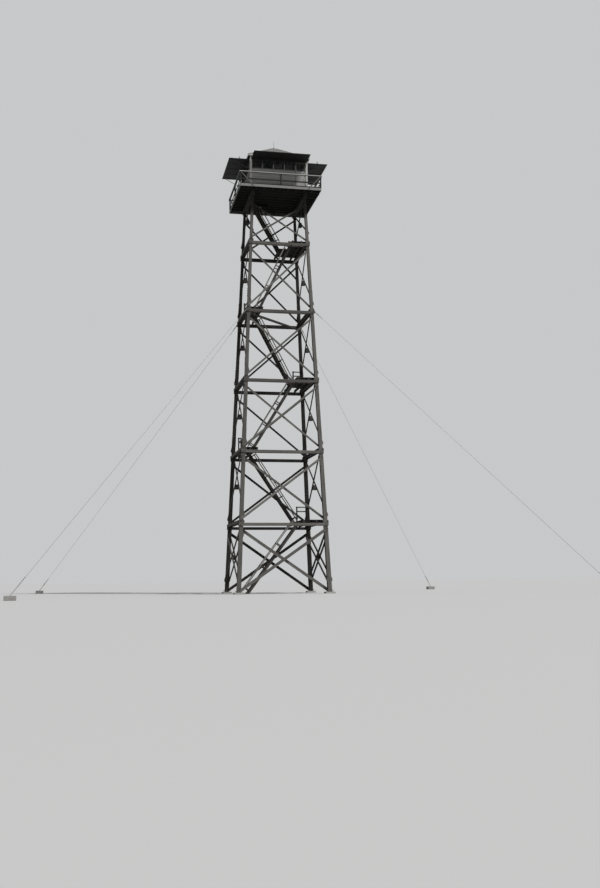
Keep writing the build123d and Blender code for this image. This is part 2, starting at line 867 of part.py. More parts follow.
fittings = []
cables = []
for (i, j), number in itertools.product(CORNERS, guy_levels):
    zm = level(number) + guy_plate_rise
    z0 = zm - guy_plate_height / 2
    inset = -guy_plate_thickness
    points = []
    for run, side in ((inset, -1), (guy_plate_length, -1), (guy_plate_length, 1), (inset, 1)):
        a = outer(zm) + run / math.sqrt(2)
        b = side * guy_plate_thickness / 2 / math.sqrt(2)
        points.append((i * (a + b), j * (a - b), z0))
    plate = prism(points, (0, 0, guy_plate_height))
    corner = outer(zm) + (guy_plate_length - lug_setback) / math.sqrt(2)
    start = Vector(i * corner, j * corner, zm)
    block_top = Vector(i * anchor_spread, j * anchor_spread, anchor_height)
    line = (block_top - start).normalized()
    bracket = plate + bar(start, line, lug_length, lug_radius)
    bracket = bracket - leg_length((i, j), z0 - lug_length, z0 + 2 * guy_plate_height)
    for plank in girts_by_level[number]:
        bracket = bracket - plank
    fittings.append(max(bracket.solids(), key=lambda solid: solid.volume))
    upper_end = start + line * lug_length
    span = (block_top - start).length
    lower_end = start + line * (span - anchor_rod_length)
    rod_end = block_top + line * anchor_height * 0.5
    shaft = bar(lower_end, line, anchor_rod_length + anchor_height * 0.5, anchor_rod_radius)
    ax, ay = i * anchor_spread, j * anchor_spread
    block = box(ax - anchor_width, ax + anchor_width, ay - anchor_width, ay + anchor_width,
                0, anchor_height)
    fittings.append((shaft - block).solids()[0])
    cable_length = (lower_end - upper_end).length
    cable = bar(upper_end, line, cable_length, cable_radius)
    cable = cable + bar(upper_end, line, socket_length, socket_radius)
    cable = cable + bar(lower_end - line * socket_length, line, socket_length, socket_radius)
    cables.append(cable.solids()[0])
save("guy_fittings", fittings)
save("guy_cables", cables)
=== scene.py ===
import json
import math
from itertools import product

import bmesh
import bpy
import numpy as np
from bpy.props import FloatProperty, FloatVectorProperty, PointerProperty
from mathutils import Matrix, Vector


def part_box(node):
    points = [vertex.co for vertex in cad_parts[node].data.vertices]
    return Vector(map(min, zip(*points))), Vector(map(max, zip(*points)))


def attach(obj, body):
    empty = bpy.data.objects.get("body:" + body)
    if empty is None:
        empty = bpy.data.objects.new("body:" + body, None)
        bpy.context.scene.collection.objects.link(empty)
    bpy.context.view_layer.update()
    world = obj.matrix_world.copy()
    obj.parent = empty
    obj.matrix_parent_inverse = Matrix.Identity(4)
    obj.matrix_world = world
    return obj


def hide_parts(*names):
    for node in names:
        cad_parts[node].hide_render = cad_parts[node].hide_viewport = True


bl_info = {
    "name": "Lookout Tower Dressing",
    "version": (1, 0, 0),
    "blender": (4, 5, 0),
    "location": "3D View > Sidebar > Lookout",
    "description": "Grain, boards, siding, shingles, bolts and paint for a timber lookout tower",
    "category": "Object",
}

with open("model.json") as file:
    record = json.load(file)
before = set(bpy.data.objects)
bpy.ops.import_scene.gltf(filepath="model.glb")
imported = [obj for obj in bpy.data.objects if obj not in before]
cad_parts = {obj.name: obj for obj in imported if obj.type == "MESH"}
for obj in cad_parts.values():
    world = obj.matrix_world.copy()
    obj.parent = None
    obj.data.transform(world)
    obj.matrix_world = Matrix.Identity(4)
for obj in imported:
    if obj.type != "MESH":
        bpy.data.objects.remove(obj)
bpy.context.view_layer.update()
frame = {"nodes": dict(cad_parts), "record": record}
ROOT = "root"
SLOTS = {part["node"]: part["material_slot"] for part in frame["record"]["subparts"]}
FACES = ("front", "right", "rear", "left")
HANDS = (-1, 1)

# Edges that bend more than BENT_EDGE are rounded, and seams flatter than FLAT_SEAM dissolved.
# Vertices closer than WELD are joined.
BENT_EDGE = math.radians(18)
FLAT_SEAM = 1e-3
WELD = 2e-5

# Laid boards sink into the solid behind them by EMBED.
EMBED = 0.001
BARE_WOOD = (0.115, 0.108, 0.098)


def length(name, description, default, low, high):
    """A length in the side panel, in metres."""
    return FloatProperty(name=name, description=description, default=default, min=low, max=high,
                         unit="LENGTH")


def amount(name, description, default, low, high):
    """A plain number in the side panel."""
    return FloatProperty(name=name, description=description, default=default, min=low, max=high)


def colour(name, description, default):
    """A colour in the side panel."""
    return FloatVectorProperty(name=name, description=description, default=default, size=3,
                               min=0, max=1, subtype="COLOR")


class LookoutSizes(bpy.types.PropertyGroup):
    """Sizes of what is laid over the plain solids."""

    timber_round: length("Timber edge round", "Worn edge of the structural timbers", 0.007, 0.001, 0.03)
    board_round: length("Board edge round", "Worn edge of thin boards and rails", 0.004, 0.0005, 0.02)
    steel_round: length("Steel edge round", "Edge round of plates and fittings", 0.002, 0.0002, 0.01)
    deck_board: length("Deck board width", "Width of one board of the catwalk and landings",
                       0.19, 0.05, 0.4)
    deck_gap: length("Deck gap", "Gap between two deck boards", 0.007, 0.001, 0.03)
    siding_exposure: length("Siding exposure", "Height of each lap of the cab siding", 0.152, 0.05, 0.4)
    siding_thickness: length("Siding thickness", "How far the lower edge of a lap stands out",
                             0.021, 0.005, 0.024)
    casing_thickness: length("Casing thickness", "Thickness of the boards around the windows",
                             0.023, 0.005, 0.024)
    shingle_exposure: length("Shingle exposure", "Height of each course of the roof", 0.14, 0.05, 0.4)
    shingle_width: length("Shingle width", "Width of one shingle", 0.19, 0.05, 0.5)
    shutter_board: length("Shutter board width", "Width of one board of a shutter", 0.15, 0.05, 0.4)
    washer_radius: length("Washer radius", "Radius of the washers under nuts and bolt heads",
                          0.038, 0.01, 0.08)
    bolt_inset: length("Bolt inset", "Distance of the first bolt from the end of a member",
                       0.11, 0.02, 0.4)


class LookoutColours(bpy.types.PropertyGroup):
    """Colours of the finishes."""

    # timber_dark and timber_light are shaded and lit copies of one wood, mixed face by face: the dark
    # one is painted shade on lower and inner faces, the light one bleaching and painted light on upper
    # and outer faces.
    timber_dark: colour("Timber, sheltered", "Creosoted wood on inner and lower faces",
                        (0.026, 0.0245, 0.0225))
    timber_light: colour("Timber, weathered", "Creosoted wood bleached by sun and rain",
                         (0.150, 0.144, 0.134))
    # stair_light is the lit copy on the stair planks' upper faces: wear and painted light.
    stair_light: colour("Stair wood, worn", "Worn upper faces of the stair planks",
                        (0.078, 0.074, 0.068))
    # The handrail colour is mixed with a darker copy of itself as painted shade on lower faces.
    handrail: colour("Handrail wood", "Bleached wood of the stair rails", (0.235, 0.228, 0.214))
    # Every paint is also darkened on lower and inner faces as painted shade, and the door and casings
    # take a painted shadow of the shutters above a height.
    siding_paint: colour("Siding paint", "Faded paint of the cab walls", (0.325, 0.322, 0.308))
    trim_paint: colour("Trim paint", "Pale paint of corner boards and eave boards", (0.48, 0.475, 0.457))
    rail_paint: colour("Top rail paint", "Worn pale paint of the catwalk's top rail",
                       (0.345, 0.34, 0.328))
    fascia_paint: colour("Fascia paint", "Dirtier pale paint of the catwalk fascia",
                         (0.215, 0.212, 0.202))
    dark_paint: colour("Dark paint", "Paint of shutters, sashes, posts and mid rails",
                       (0.020, 0.020, 0.0195))
    # deck_dark and deck_light are kept near black as painted shade under and along the platform.
    deck_dark: colour("Deck timber, sheltered", "Lower faces of deck, joists and caps",
                      (0.021, 0.0202, 0.0192))
    deck_light: colour("Deck timber, weathered", "Upper faces and edges of the deck boards",
                       (0.026, 0.025, 0.0235))
    door_paint: colour("Door paint", "Paint of the cab door", (0.335, 0.332, 0.318))
    roof_grey: colour("Roof grey", "Weathered roof covering", (0.30, 0.296, 0.285))


class LookoutStage(bpy.types.PropertyGroup):
    """Camera, light and backdrop."""

    lens: amount("Lens", "Focal length of the camera in millimetres", 42.57, 10, 300)
    sun_strength: amount("Key light", "Strength of the soft key light", 3.0, 0, 20)
    sky_strength: amount("Sky light", "Strength of the light from all round", 0.33, 0, 5)
    light_bearing: amount("Light bearing", "Degrees from the front towards the right side",
                          38.0, -180, 180)
    light_slant: amount("Light slant", "Degrees between the key light and the upright", 38.0, 0, 90)
    backdrop: amount("Backdrop", "Brightness of the plain background", 0.58, 0, 2)


class Value:
    """One output of a node; Python operators add Math nodes to its tree."""

    def __init__(self, builder, socket):
        self.builder = builder
        self.socket = socket

    def math(self, operation, *terms):
        sockets = dict(enumerate(terms))
        return self.builder.node("ShaderNodeMath", {"operation": operation}, sockets)

    def __add__(self, other):
        return self.math("ADD", self, other)

    __radd__ = __add__

    def __mul__(self, other):
        return self.math("MULTIPLY", self, other)

    __rmul__ = __mul__

    def __sub__(self, other):
        return self.math("SUBTRACT", self, other)

    def __rsub__(self, other):
        return self.math("SUBTRACT", other, self)

    def __truediv__(self, other):
        return self.math("DIVIDE", self, other)

    def __rtruediv__(self, other):
        return self.math("DIVIDE", other, self)

    def __mod__(self, other):
        return self.math("MODULO", self, other)

    def __rmod__(self, other):
        return self.math("MODULO", other, self)

    def clamp(self):
        return self.math("MINIMUM", self.math("MAXIMUM", self, 0.0), 1.0)

    def above(self, low, high):
        """Rises from 0 at low to 1 at high, smoothly."""
        return self.builder.node("ShaderNodeMapRange", {"interpolation_type": "SMOOTHSTEP"},
                                 {"Value": self, "From Min": low, "From Max": high})


class Builder:
    """Adds nodes to a tree; a node's settings are made before its sockets are fed."""

    def __init__(self, tree):
        self.tree = tree

    def node(self, kind, settings=None, sockets=None, out=0):
        made = self.tree.nodes.new(kind)
        for key, value in (settings or {}).items():
            setattr(made, key, value)
        for key, value in (sockets or {}).items():
            self.feed(made.inputs[key], value)
        return Value(self, made.outputs[out])

    def feed(self, socket, value):
        if isinstance(value, Value):
            self.tree.links.new(value.socket, socket)
        elif hasattr(socket.default_value, "__len__") and len(value) < len(socket.default_value):
            socket.default_value = (*value, 1.0)
        else:
            socket.default_value = value

    def axis(self, vector, name):
        return self.node("ShaderNodeSeparateXYZ", None, {"Vector": vector}, out=name)


class Finish(Builder):
    """A procedural material under construction."""

    def __init__(self, name):
        self.material = bpy.data.materials.new(name)
        self.material.use_nodes = True
        super().__init__(self.material.node_tree)
        self.surface = self.tree.nodes["Principled BSDF"]

    def place(self):
        return self.node("ShaderNodeTexCoord", out="Object")

    def attribute(self, name, out="Fac"):
        return self.node("ShaderNodeAttribute", {"attribute_name": name}, out=out)

    def noise(self, vector, scale=1.0, detail=4.0, rough=0.55):
        return self.node("ShaderNodeTexNoise", None,
                         {"Vector": vector, "Scale": scale, "Detail": detail,
                          "Roughness": rough})

    def streaks(self, grain, stretch, detail, rough):
        """Noise drawn out along the first axis of the grain."""
        return self.noise(self.stretch(grain, stretch), 1.0, detail, rough)

    def stretch(self, vector, scale):
        return self.node("ShaderNodeVectorMath", {"operation": "MULTIPLY"}, {0: vector, 1: scale})

    def spots(self, vector, scale=1.0):
        return self.node("ShaderNodeTexVoronoi", None, {"Vector": vector, "Scale": scale})

    def mix(self, share, first, second):
        return self.node("ShaderNodeMix", {"data_type": "RGBA"}, {0: share, 6: first, 7: second}, out=2)

    def bump(self, height, strength, distance):
        return self.node("ShaderNodeBump", None,
                         {"Height": height, "Strength": strength, "Distance": distance})

    def shadow_above(self, uneven, shadow_from, fade):
        """Rises from 0 to 1 above a height, for a painted shadow under an overhang."""
        height = self.axis(self.place(), "Z")
        return (height + uneven).above(shadow_from, shadow_from + fade)

    def set(self, **sockets):
        for key, value in sockets.items():
            self.feed(self.surface.inputs[key.replace("_", " ")], value)
        return self.material


def shade(tint, share):
    """A colour darker or lighter by a share."""
    return tuple(min(1.0, part * share) for part in tint)


def timber(name, sheltered_and_shaded, weathered_and_lit, shadow_from=None):
    """Sawn wood whose grain follows each board, lighter on faces that look up or out, as bleaching and
    painted light, and darker on lower and inner faces as painted shade.

    Above the height shadow_from the wood is kept dark as a painted shadow of the platform.
    """
    finish = Finish(name)
    grain = finish.attribute("grain", "Vector")
    fine = finish.streaks(grain, (1.6, 46, 46), 6.0, 0.6)
    broad = finish.streaks(grain, (0.5, 6, 6), 3.0, 0.5)
    patches = finish.noise(finish.place(), 0.9, 4.0, 0.6)
    checks = finish.streaks(grain, (0.7, 70, 70), 2.0, 0.4).above(0.60, 0.68)
    knots = 1 - finish.spots(finish.stretch(grain, (1.3, 7, 7))).above(0.05, 0.16)
    tone = finish.attribute("tone")
    share = (fine * 0.9 + broad * 0.4 + patches * 0.4 + tone * 0.4 - 0.55).clamp()
    inner = finish.mix(share, shade(sheltered_and_shaded, 0.55), shade(sheltered_and_shaded, 1.5))
    outer = finish.mix(share, shade(weathered_and_lit, 0.45), shade(weathered_and_lit, 1.4))
    bleached_and_lit = (finish.attribute("weather") * 1.15 - (patches - 0.5) * 0.5).clamp()
    if shadow_from:
        bleached_and_lit = bleached_and_lit * (1 - finish.shadow_above(patches * 0.3, shadow_from, 0.5))
    coat = finish.mix(bleached_and_lit, inner, outer)
    end_grain = 1 - finish.attribute("ends").above(0.0, 0.22)
    dirt = (checks * 0.7 + knots * 0.5 + end_grain * 0.3).clamp()
    coat = finish.mix(dirt, coat, shade(sheltered_and_shaded, 0.5))
    height = fine * 0.6 - checks - knots * 0.4
    return finish.set(Base_Color=coat, Roughness=0.82 + 0.1 * (1 - fine),
                      Normal=finish.bump(height, 0.55, 0.006), Specular_IOR_Level=0.12)


def painted(name, paint, wear=0.5, grime_and_shade_spared=0.35, grime_and_shade_tone=0.12, shadow_from=None):
    """Painted boards, faded and worn through in flakes, and darker on lower and inner faces: partly
    dirt, partly painted shade.

    Above the height shadow_from the boards are darkened as a painted shadow of the overhang above them.
    """
    finish = Finish(name)
    grain = finish.attribute("grain", "Vector")
    fine = finish.streaks(grain, (2.0, 40, 40), 6.0, 0.62)
    broad = finish.noise(finish.place(), 1.1, 5.0, 0.6)
    flakes = finish.streaks(grain, (6, 34, 34), 5.0, 0.7)
    worn = (flakes * 0.6 + broad * 0.4).above(0.66 - 0.12 * wear, 0.70 - 0.12 * wear)
    worn = worn * (wear > 0.0)
    fade = (broad * 0.5 + finish.attribute("tone") * 0.4 + fine * 0.3 - 0.35).clamp()
    coat = finish.mix(fade, shade(paint, 0.78), shade(paint, 1.22))
    coat = finish.mix(worn * 0.8, coat, BARE_WOOD)
    grime_and_shade = 1 - finish.attribute("weather") + (broad - 0.5) * 0.4
    grime_and_shade = grime_and_shade.clamp() * (1 - grime_and_shade_spared)
    if shadow_from:
        grime_and_shade = (grime_and_shade + finish.shadow_above((broad - 0.5) * 0.15, shadow_from, 0.16) * 0.9).clamp()
    coat = finish.mix(grime_and_shade, coat, shade(paint, grime_and_shade_tone))
    height = fine * 0.4 - worn * 0.6
    return finish.set(Base_Color=coat, Roughness=0.6 + 0.25 * worn,
                      Normal=finish.bump(height, 0.35, 0.003), Specular_IOR_Level=0.15)


def concrete():
    finish = Finish("rough_concrete")
    place = finish.place()
    cloud = finish.noise(place, 3.0, 6.0, 0.6)
    grit = finish.noise(place, 60.0, 4.0, 0.7)
    coat = finish.mix((cloud * 0.8 + grit * 0.4 - 0.2).clamp(), (0.16, 0.155, 0.145),
                      (0.38, 0.37, 0.345))
    return finish.set(Base_Color=coat, Roughness=0.9, Normal=finish.bump(grit, 0.5, 0.004))


def steel(name, tint, rust):
    finish = Finish(name)
    place = finish.place()
    spangle = finish.spots(place, 40.0)
    stain = finish.noise(place, 7.0, 6.0, 0.7).above(0.62 - 0.2 * rust, 0.75)
    coat = finish.mix(spangle.clamp() * 0.6, shade(tint, 0.8), tint)
    coat = finish.mix(stain * 0.8, coat, (0.085, 0.05, 0.032))
    return finish.set(Base_Color=coat, Metallic=0.75 - 0.6 * stain,
                      Roughness=0.5 + 0.35 * stain, Normal=finish.bump(stain, 0.3, 0.001))


def cable_finish(tint):
    """Seven-wire strand: the wires wind round the cable, drawn by its lay attribute."""
    finish = Finish("guy_wire")
    lay = finish.attribute("lay", "Vector")
    across = finish.axis(lay, "Y")
    turn = across.math("ARCTAN2", finish.axis(lay, "Z"), across)
    twist = turn * 6 + finish.axis(lay, "X") * 48
    wires = twist.math("SINE", twist)
    stain = finish.noise(finish.place(), 0.8, 5.0, 0.7).above(0.5, 0.75)
    # The troughs between the wires are painted darker, as painted shade between the strands.
    coat = finish.mix((wires * 0.5 + 0.5).clamp(), shade(tint, 0.35), tint)
    coat = finish.mix(stain * 0.7, coat, (0.07, 0.05, 0.038))
    return finish.set(Base_Color=coat, Metallic=0.7 - 0.5 * stain,
                      Roughness=0.45 + 0.35 * stain, Normal=finish.bump(wires, 0.6, 0.003))


def window_pane():
    finish = Finish("old_glass")
    place = finish.place()
    ripple = finish.noise(place, 4.0, 2.0, 0.4)
    dust = finish.noise(place, 1.5, 5.0, 0.6).above(0.4, 0.8)
    coat = finish.mix(dust * 0.5, (0.026, 0.028, 0.028), (0.085, 0.087, 0.083))
    return finish.set(Base_Color=coat, Roughness=0.08 + 0.2 * dust, Alpha=0.62 + 0.2 * dust,
                      Normal=finish.bump(ripple, 0.12, 0.004))


def shingle_finish(tint):
    finish = Finish("weathered_shingles")
    fine = finish.streaks(finish.attribute("grain", "Vector"), (30, 60, 20), 5.0, 0.6)
    broad = finish.noise(finish.place(), 1.6, 4.0, 0.6)
    share = (finish.attribute("tone") * 0.6 + fine * 0.3 + broad * 0.3 - 0.15).clamp()
    coat = finish.mix(share, shade(tint, 0.6), shade(tint, 1.1))
    return finish.set(Base_Color=coat, Roughness=0.85, Normal=finish.bump(fine, 0.5, 0.004))


def islands(mesh):
    """The number of the connected piece that each vertex belongs to."""
    edges = np.empty(len(mesh.edges) * 2, np.int64)
    mesh.edges.foreach_get("vertices", edges)
    edges = edges.reshape(-1, 2)
    label = np.arange(len(mesh.vertices))
    while True:
        low = np.minimum(label[edges[:, 0]], label[edges[:, 1]])
        new = label.copy()
        np.minimum.at(new, edges[:, 0], low)
        np.minimum.at(new, edges[:, 1], low)
        new = new[new]
        if (new == label).all():
            return np.unique(label, return_inverse=True)[1]
        label = new


def points_of(mesh):
    """The mesh's vertices as an array."""
    co = np.empty(len(mesh.vertices) * 3)
    mesh.vertices.foreach_get("co", co)
    return co.reshape(-1, 3)


def members(mesh):
    """Vertices, centre, axes (longest first) and half sizes of every connected piece."""
    co = points_of(mesh)
    label = islands(mesh)
    order = np.argsort(label, kind="stable")
    starts = np.searchsorted(label[order], np.arange(label.max() + 2))
    found = []
    for first, last in zip(starts, starts[1:]):
        own = order[first:last]
        corners = co[own]
        centre = (corners.max(0) + corners.min(0)) / 2
        local = corners - corners.mean(0)
        axes = np.linalg.eigh(local.T @ local)[1][:, ::-1]
        along = (corners - centre) @ axes
        middle = (along.max(0) + along.min(0)) / 2
        half = (along.max(0) - along.min(0)) / 2
        found.append((own, centre + axes @ middle, axes, half))
    return found


def store(mesh, name, kind, domain, values):
    """Writes an array to a named attribute."""
    attribute = mesh.attributes.new(name, kind, domain)
    key = "vector" if kind == "FLOAT_VECTOR" else "value"
    attribute.data.foreach_set(key, np.asarray(values, np.float32).ravel())


def grade_boards(mesh, seed):
    """Gives every board its grain, tone and ends, and every face its share of sun and rain, which also
    serves as painted light and shade.
    """
    co = points_of(mesh)
    rng = np.random.default_rng(seed)
    grain = np.zeros((len(co), 3))
    tone = np.zeros(len(co))
    ends = np.zeros(len(co))
    for own, centre, axes, half in members(mesh):
        along = (co[own] - centre) @ axes
        grain[own] = along + rng.uniform(0, 40, 3)
        tone[own] = rng.uniform(0, 1)
        ends[own] = half[0] - np.abs(along[:, 0])
    store(mesh, "grain", "FLOAT_VECTOR", "POINT", grain)
    store(mesh, "tone", "FLOAT", "POINT", tone)
    store(mesh, "ends", "FLOAT", "POINT", ends)

    # Faces that look away from the tower's axis or up count as exposed and lit; lower and inner faces
    # get painted shade.
    middles = np.array([face.center for face in mesh.polygons])[:, :2]
    normals = np.array([face.normal for face in mesh.polygons])
    radial = middles / np.maximum(np.abs(middles).max(1, keepdims=True), 0.3)
    outward = (normals[:, :2] * radial).sum(1)
    upward = normals[:, 2]
    weather = np.clip(outward * 1.2, 0, 1) + np.where(upward > 0, upward, upward * 0.8)
    store(mesh, "weather", "FLOAT", "FACE", np.clip(weather, 0, 1))


def welded(mesh):
    """A bmesh of a mesh, with its doubled vertices joined."""
    bm = bmesh.new()
    bm.from_mesh(mesh)
    bmesh.ops.remove_doubles(bm, verts=bm.verts, dist=WELD)
    return bm


def soften(bm, width):
    """Rounds the sharp edges of a mesh and leaves flat seams alone."""
    sharp = [e for e in bm.edges if e.is_manifold and e.calc_face_angle(0) > BENT_EDGE]
    bmesh.ops.bevel(bm, geom=sharp, offset=width, segments=1, affect="EDGES", clamp_overlap=True)
    bmesh.ops.triangulate(bm, faces=[f for f in bm.faces if len(f.verts) > 4])


def surfaced(mesh, width, keep_corners):
    """A bmesh of a mesh with its flat triangles joined and its sharp edges rounded."""
    bm = welded(mesh)
    flat = [e for e in bm.edges if e.is_manifold and e.calc_face_angle(0) < FLAT_SEAM]
    bmesh.ops.dissolve_edges(bm, edges=flat, use_verts=not keep_corners)
    soften(bm, width)
    return bm


def as_mesh(bm, name):
    mesh = bpy.data.meshes.new(name)
    bm.to_mesh(mesh)
    bm.free()
    return mesh


def resurfaced(mesh, width):
    """Laid boards again, with clean faces and rounded edges."""
    return as_mesh(surfaced(mesh, width, False), mesh.name)


def solid_mesh(node):
    """The welded triangles of a CAD node, closed, ready to cut other shapes."""
    return as_mesh(welded(frame["nodes"][node].data), node + "_outline")


def join(meshes, name):
    """One mesh from several, which are used up."""
    bm = bmesh.new()
    for mesh in meshes:
        bm.from_mesh(mesh)
        bpy.data.meshes.remove(mesh)
    return as_mesh(bm, name)


def in_scene(name, data):
    """A new object in the scene."""
    obj = bpy.data.objects.new(name, data)
    bpy.context.scene.collection.objects.link(obj)
    return obj


def piece(name, mesh, material, slot, *replaced, seed=None):
    """Shows a finished mesh on the tower, in place of the nodes it stands for."""
    obj = in_scene(name, mesh)
    mesh.materials.clear()
    mesh.materials.append(material)
    if seed is not None:
        grade_boards(mesh, seed)
    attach(obj, ROOT)
    if replaced:
        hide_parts(*replaced)
    return obj


def dressed_copy(node, material, width, seed=None):
    """A softened copy of a CAD node, its boards graded by the seed, shown in its place."""
    bm = surfaced(frame["nodes"][node].data, width, True)
    return piece(node + "_dressed", as_mesh(bm, node), material, SLOTS[node], node, seed=seed)


def dressed_copies(nodes, material, width, first_seed):
    """Softened copies of several nodes in one material, with seeds that count up."""
    for seed, node in enumerate(nodes, first_seed):
        dressed_copy(node, material, width, seed)


def repaint(node, material):
    """Gives a CAD node's own mesh a finish."""
    mesh = frame["nodes"][node].data
    mesh.materials.clear()
    mesh.materials.append(material)


def add_block(bm, low, high):
    """Adds a box between two corners to a mesh."""
    low, high = Vector(low), Vector(high)
    size = Vector(abs(reach) for reach in high - low)
    place = Matrix.Translation((low + high) / 2) @ Matrix.Diagonal((*size, 1))
    bmesh.ops.create_cube(bm, size=1.0, matrix=place)


def add_rod(bm, radius, low, high, sides, at=(0, 0), top_radius=None):
    """Adds an upright prism or cone of many sides between two heights."""
    place = Matrix.Translation((*at, (low + high) / 2))
    bmesh.ops.create_cone(bm, cap_ends=True, segments=sides, radius1=radius,
                          radius2=top_radius or radius, depth=high - low, matrix=place)


def turn_about(bm, matrix):
    """Turns or moves everything in a mesh."""
    bmesh.ops.transform(bm, matrix=matrix, verts=bm.verts)


def face_turn(face):
    """The turn from the front face to the face of that number in FACES."""
    return Matrix.Rotation(face * math.pi / 2, 4, "Z")


class Tree(Builder):
    """A Geometry Nodes tree under construction, with named inputs."""

    def __init__(self, name):
        super().__init__(bpy.data.node_groups.new(name, "GeometryNodeTree"))
        self.entry = self.tree.nodes.new("NodeGroupInput")
        self.keys = {}

    def ask(self, name, kind):
        """A named input of the tree."""
        socket = self.tree.interface.new_socket(name, in_out="INPUT", socket_type="NodeSocket" + kind)
        self.keys[name] = socket.identifier
        return Value(self, self.entry.outputs[name])

    def jitter(self):
        """A seeded random vector between nothing and the unevenness asked for."""
        return self.node("FunctionNodeRandomValue", {"data_type": "FLOAT_VECTOR"},
                         {0: (0.0, 0.0, 0.0), 1: self.ask("Unevenness", "Vector"),
                          "Seed": self.ask("Seed", "Int")})

    def close(self, geometry):
        """Ends the tree in real geometry of one material."""
        real = self.node("GeometryNodeRealizeInstances", None, {"Geometry": geometry})
        coated = self.node("GeometryNodeSetMaterial", None,
                           {"Geometry": real, "Material": self.ask("Finish", "Material")})
        self.tree.interface.new_socket("Geometry", in_out="OUTPUT", socket_type="NodeSocketGeometry")
        self.feed(self.tree.nodes.new("NodeGroupOutput").inputs["Geometry"], coated)
        return self

    def grow(self, mesh, inputs):
        """What the tree makes of a mesh, as a plain mesh."""
        source = in_scene(self.tree.name, mesh)
        modifier = source.modifiers.new("grow", "NODES")
        modifier.node_group = self.tree
        for name, value in inputs.items():
            modifier[self.keys[name]] = value
        graph = bpy.context.evaluated_depsgraph_get()
        grown = bpy.data.meshes.new_from_object(source.evaluated_get(graph))
        bpy.data.objects.remove(source)
        return grown


def board_rows():
    """Boards side by side, cut to the outline of the slab or wall they cover."""
    tree = Tree("board_rows")
    outline = tree.ask("Outline", "Geometry")
    line = tree.node("GeometryNodeMeshLine", {"mode": "OFFSET"},
                     {"Count": tree.ask("Boards", "Int"),
                      "Start Location": tree.ask("First board", "Vector"),
                      "Offset": tree.ask("Step", "Vector")})
    line = tree.node("GeometryNodeSetPosition", None, {"Geometry": line, "Offset": tree.jitter()})
    board = tree.node("GeometryNodeMeshCube", None, {"Size": tree.ask("Board size", "Vector")})
    rows = tree.node("GeometryNodeInstanceOnPoints", None,
                     {"Points": line, "Instance": board, "Rotation": tree.ask("Tilt", "Vector")})
    rows = tree.node("GeometryNodeRealizeInstances", None, {"Geometry": rows})
    cut = tree.node("GeometryNodeMeshBoolean", {"operation": "INTERSECT", "solver": "EXACT"},
                    {"Mesh 2": outline})
    tree.feed(cut.socket.node.inputs["Mesh 2"], rows)
    return tree.close(cut)


def boards_over(rows, outline, low, high, along, pitch, gap, uneven, seed, material,
                tilt=(0.0, 0.0, 0.0)):
    """Boards between two corners, side by side along one axis, cut to an outline."""
    low, high = Vector(low), Vector(high)
    count = max(1, round((high[along] - low[along]) / pitch))
    width = (high[along] - low[along]) / count
    size = high - low
    size[along] = width - gap
    first = (low + high) / 2
    first[along] = low[along] + width / 2
    step = Vector()
    step[along] = width
    return rows.grow(outline, {
        "Boards": count, "First board": first, "Step": step, "Board size": size,
        "Unevenness": uneven, "Seed": seed, "Tilt": tilt, "Finish": material})


def shingle_courses():
    """Staggered courses of shingles on a flat slope, centred, with their butts towards -Y."""
    tree = Tree("shingle_courses")
    tree.ask("Base", "Geometry")
    width = tree.ask("Width", "Float")
    exposure = tree.ask("Exposure", "Float")
    across = tree.ask("Across", "Int")
    courses = tree.ask("Courses", "Int")
    number = tree.node("GeometryNodeInputIndex")
    course = number / across
    course = course.math("FLOOR", course)
    column = number - course * across
    stagger = course % 2.0 * 0.5
    place = tree.node("ShaderNodeCombineXYZ", None,
                      {"X": (column - across / 2.0 + stagger) * width, "Y": course * exposure})
    place = tree.node("ShaderNodeVectorMath", {"operation": "ADD"}, {0: place, 1: tree.jitter()})
    spots = tree.node("GeometryNodePoints", None, {"Count": across * courses, "Position": place})
    shingle = tree.node("GeometryNodeMeshCube", None, {"Size": tree.ask("Shingle size", "Vector")})
    rows = tree.node("GeometryNodeInstanceOnPoints", None,
                     {"Points": spots, "Instance": shingle, "Rotation": tree.ask("Tilt", "Vector")})
    return tree.close(rows)


def parts_on_points():
    """A small part on every point, its Z turned to the stored facing and its X to the along."""
    tree = Tree("parts_on_points")
    spots = tree.ask("Points", "Geometry")
    part = tree.node("GeometryNodeObjectInfo", None, {"Object": tree.ask("Part", "Object")},
                     out="Geometry")
    sockets = {}
    for axis, name, pivot in (("Z", "facing", "AUTO"), ("X", "along", "Z")):
        sockets["Vector"] = tree.node("GeometryNodeInputNamedAttribute",
                                      {"data_type": "FLOAT_VECTOR"}, {"Name": name})
        sockets["Rotation"] = tree.node("FunctionNodeAlignRotationToVector",
                                        {"axis": axis, "pivot_axis": pivot}, sockets)
    rows = tree.node("GeometryNodeInstanceOnPoints", None,
                     {"Points": spots, "Instance": part, "Rotation": sockets["Rotation"]})
    return tree.close(rows)


def set_parts(part, spots, material):
    """Copies of a small part at spots, each a place, a facing and an along direction."""
    places, facings, alongs = ([tuple(vector) for vector in column] for column in zip(*spots))
    mesh = bpy.data.meshes.new("spots")
    mesh.from_pydata(places, [], [])
    store(mesh, "facing", "FLOAT_VECTOR", "POINT", facings)
    store(mesh, "along", "FLOAT_VECTOR", "POINT", alongs)
    holder = in_scene("part", part)
    grown = parts_on_points().grow(mesh, {"Part": holder, "Finish": material})
    bpy.data.objects.remove(holder)
    return grown


def scatter(name, part, spots, material, slot, seed=None):
    """Shows copies of a small part at spots as one piece."""
    return piece(name, set_parts(part, spots, material), material, slot, seed=seed)


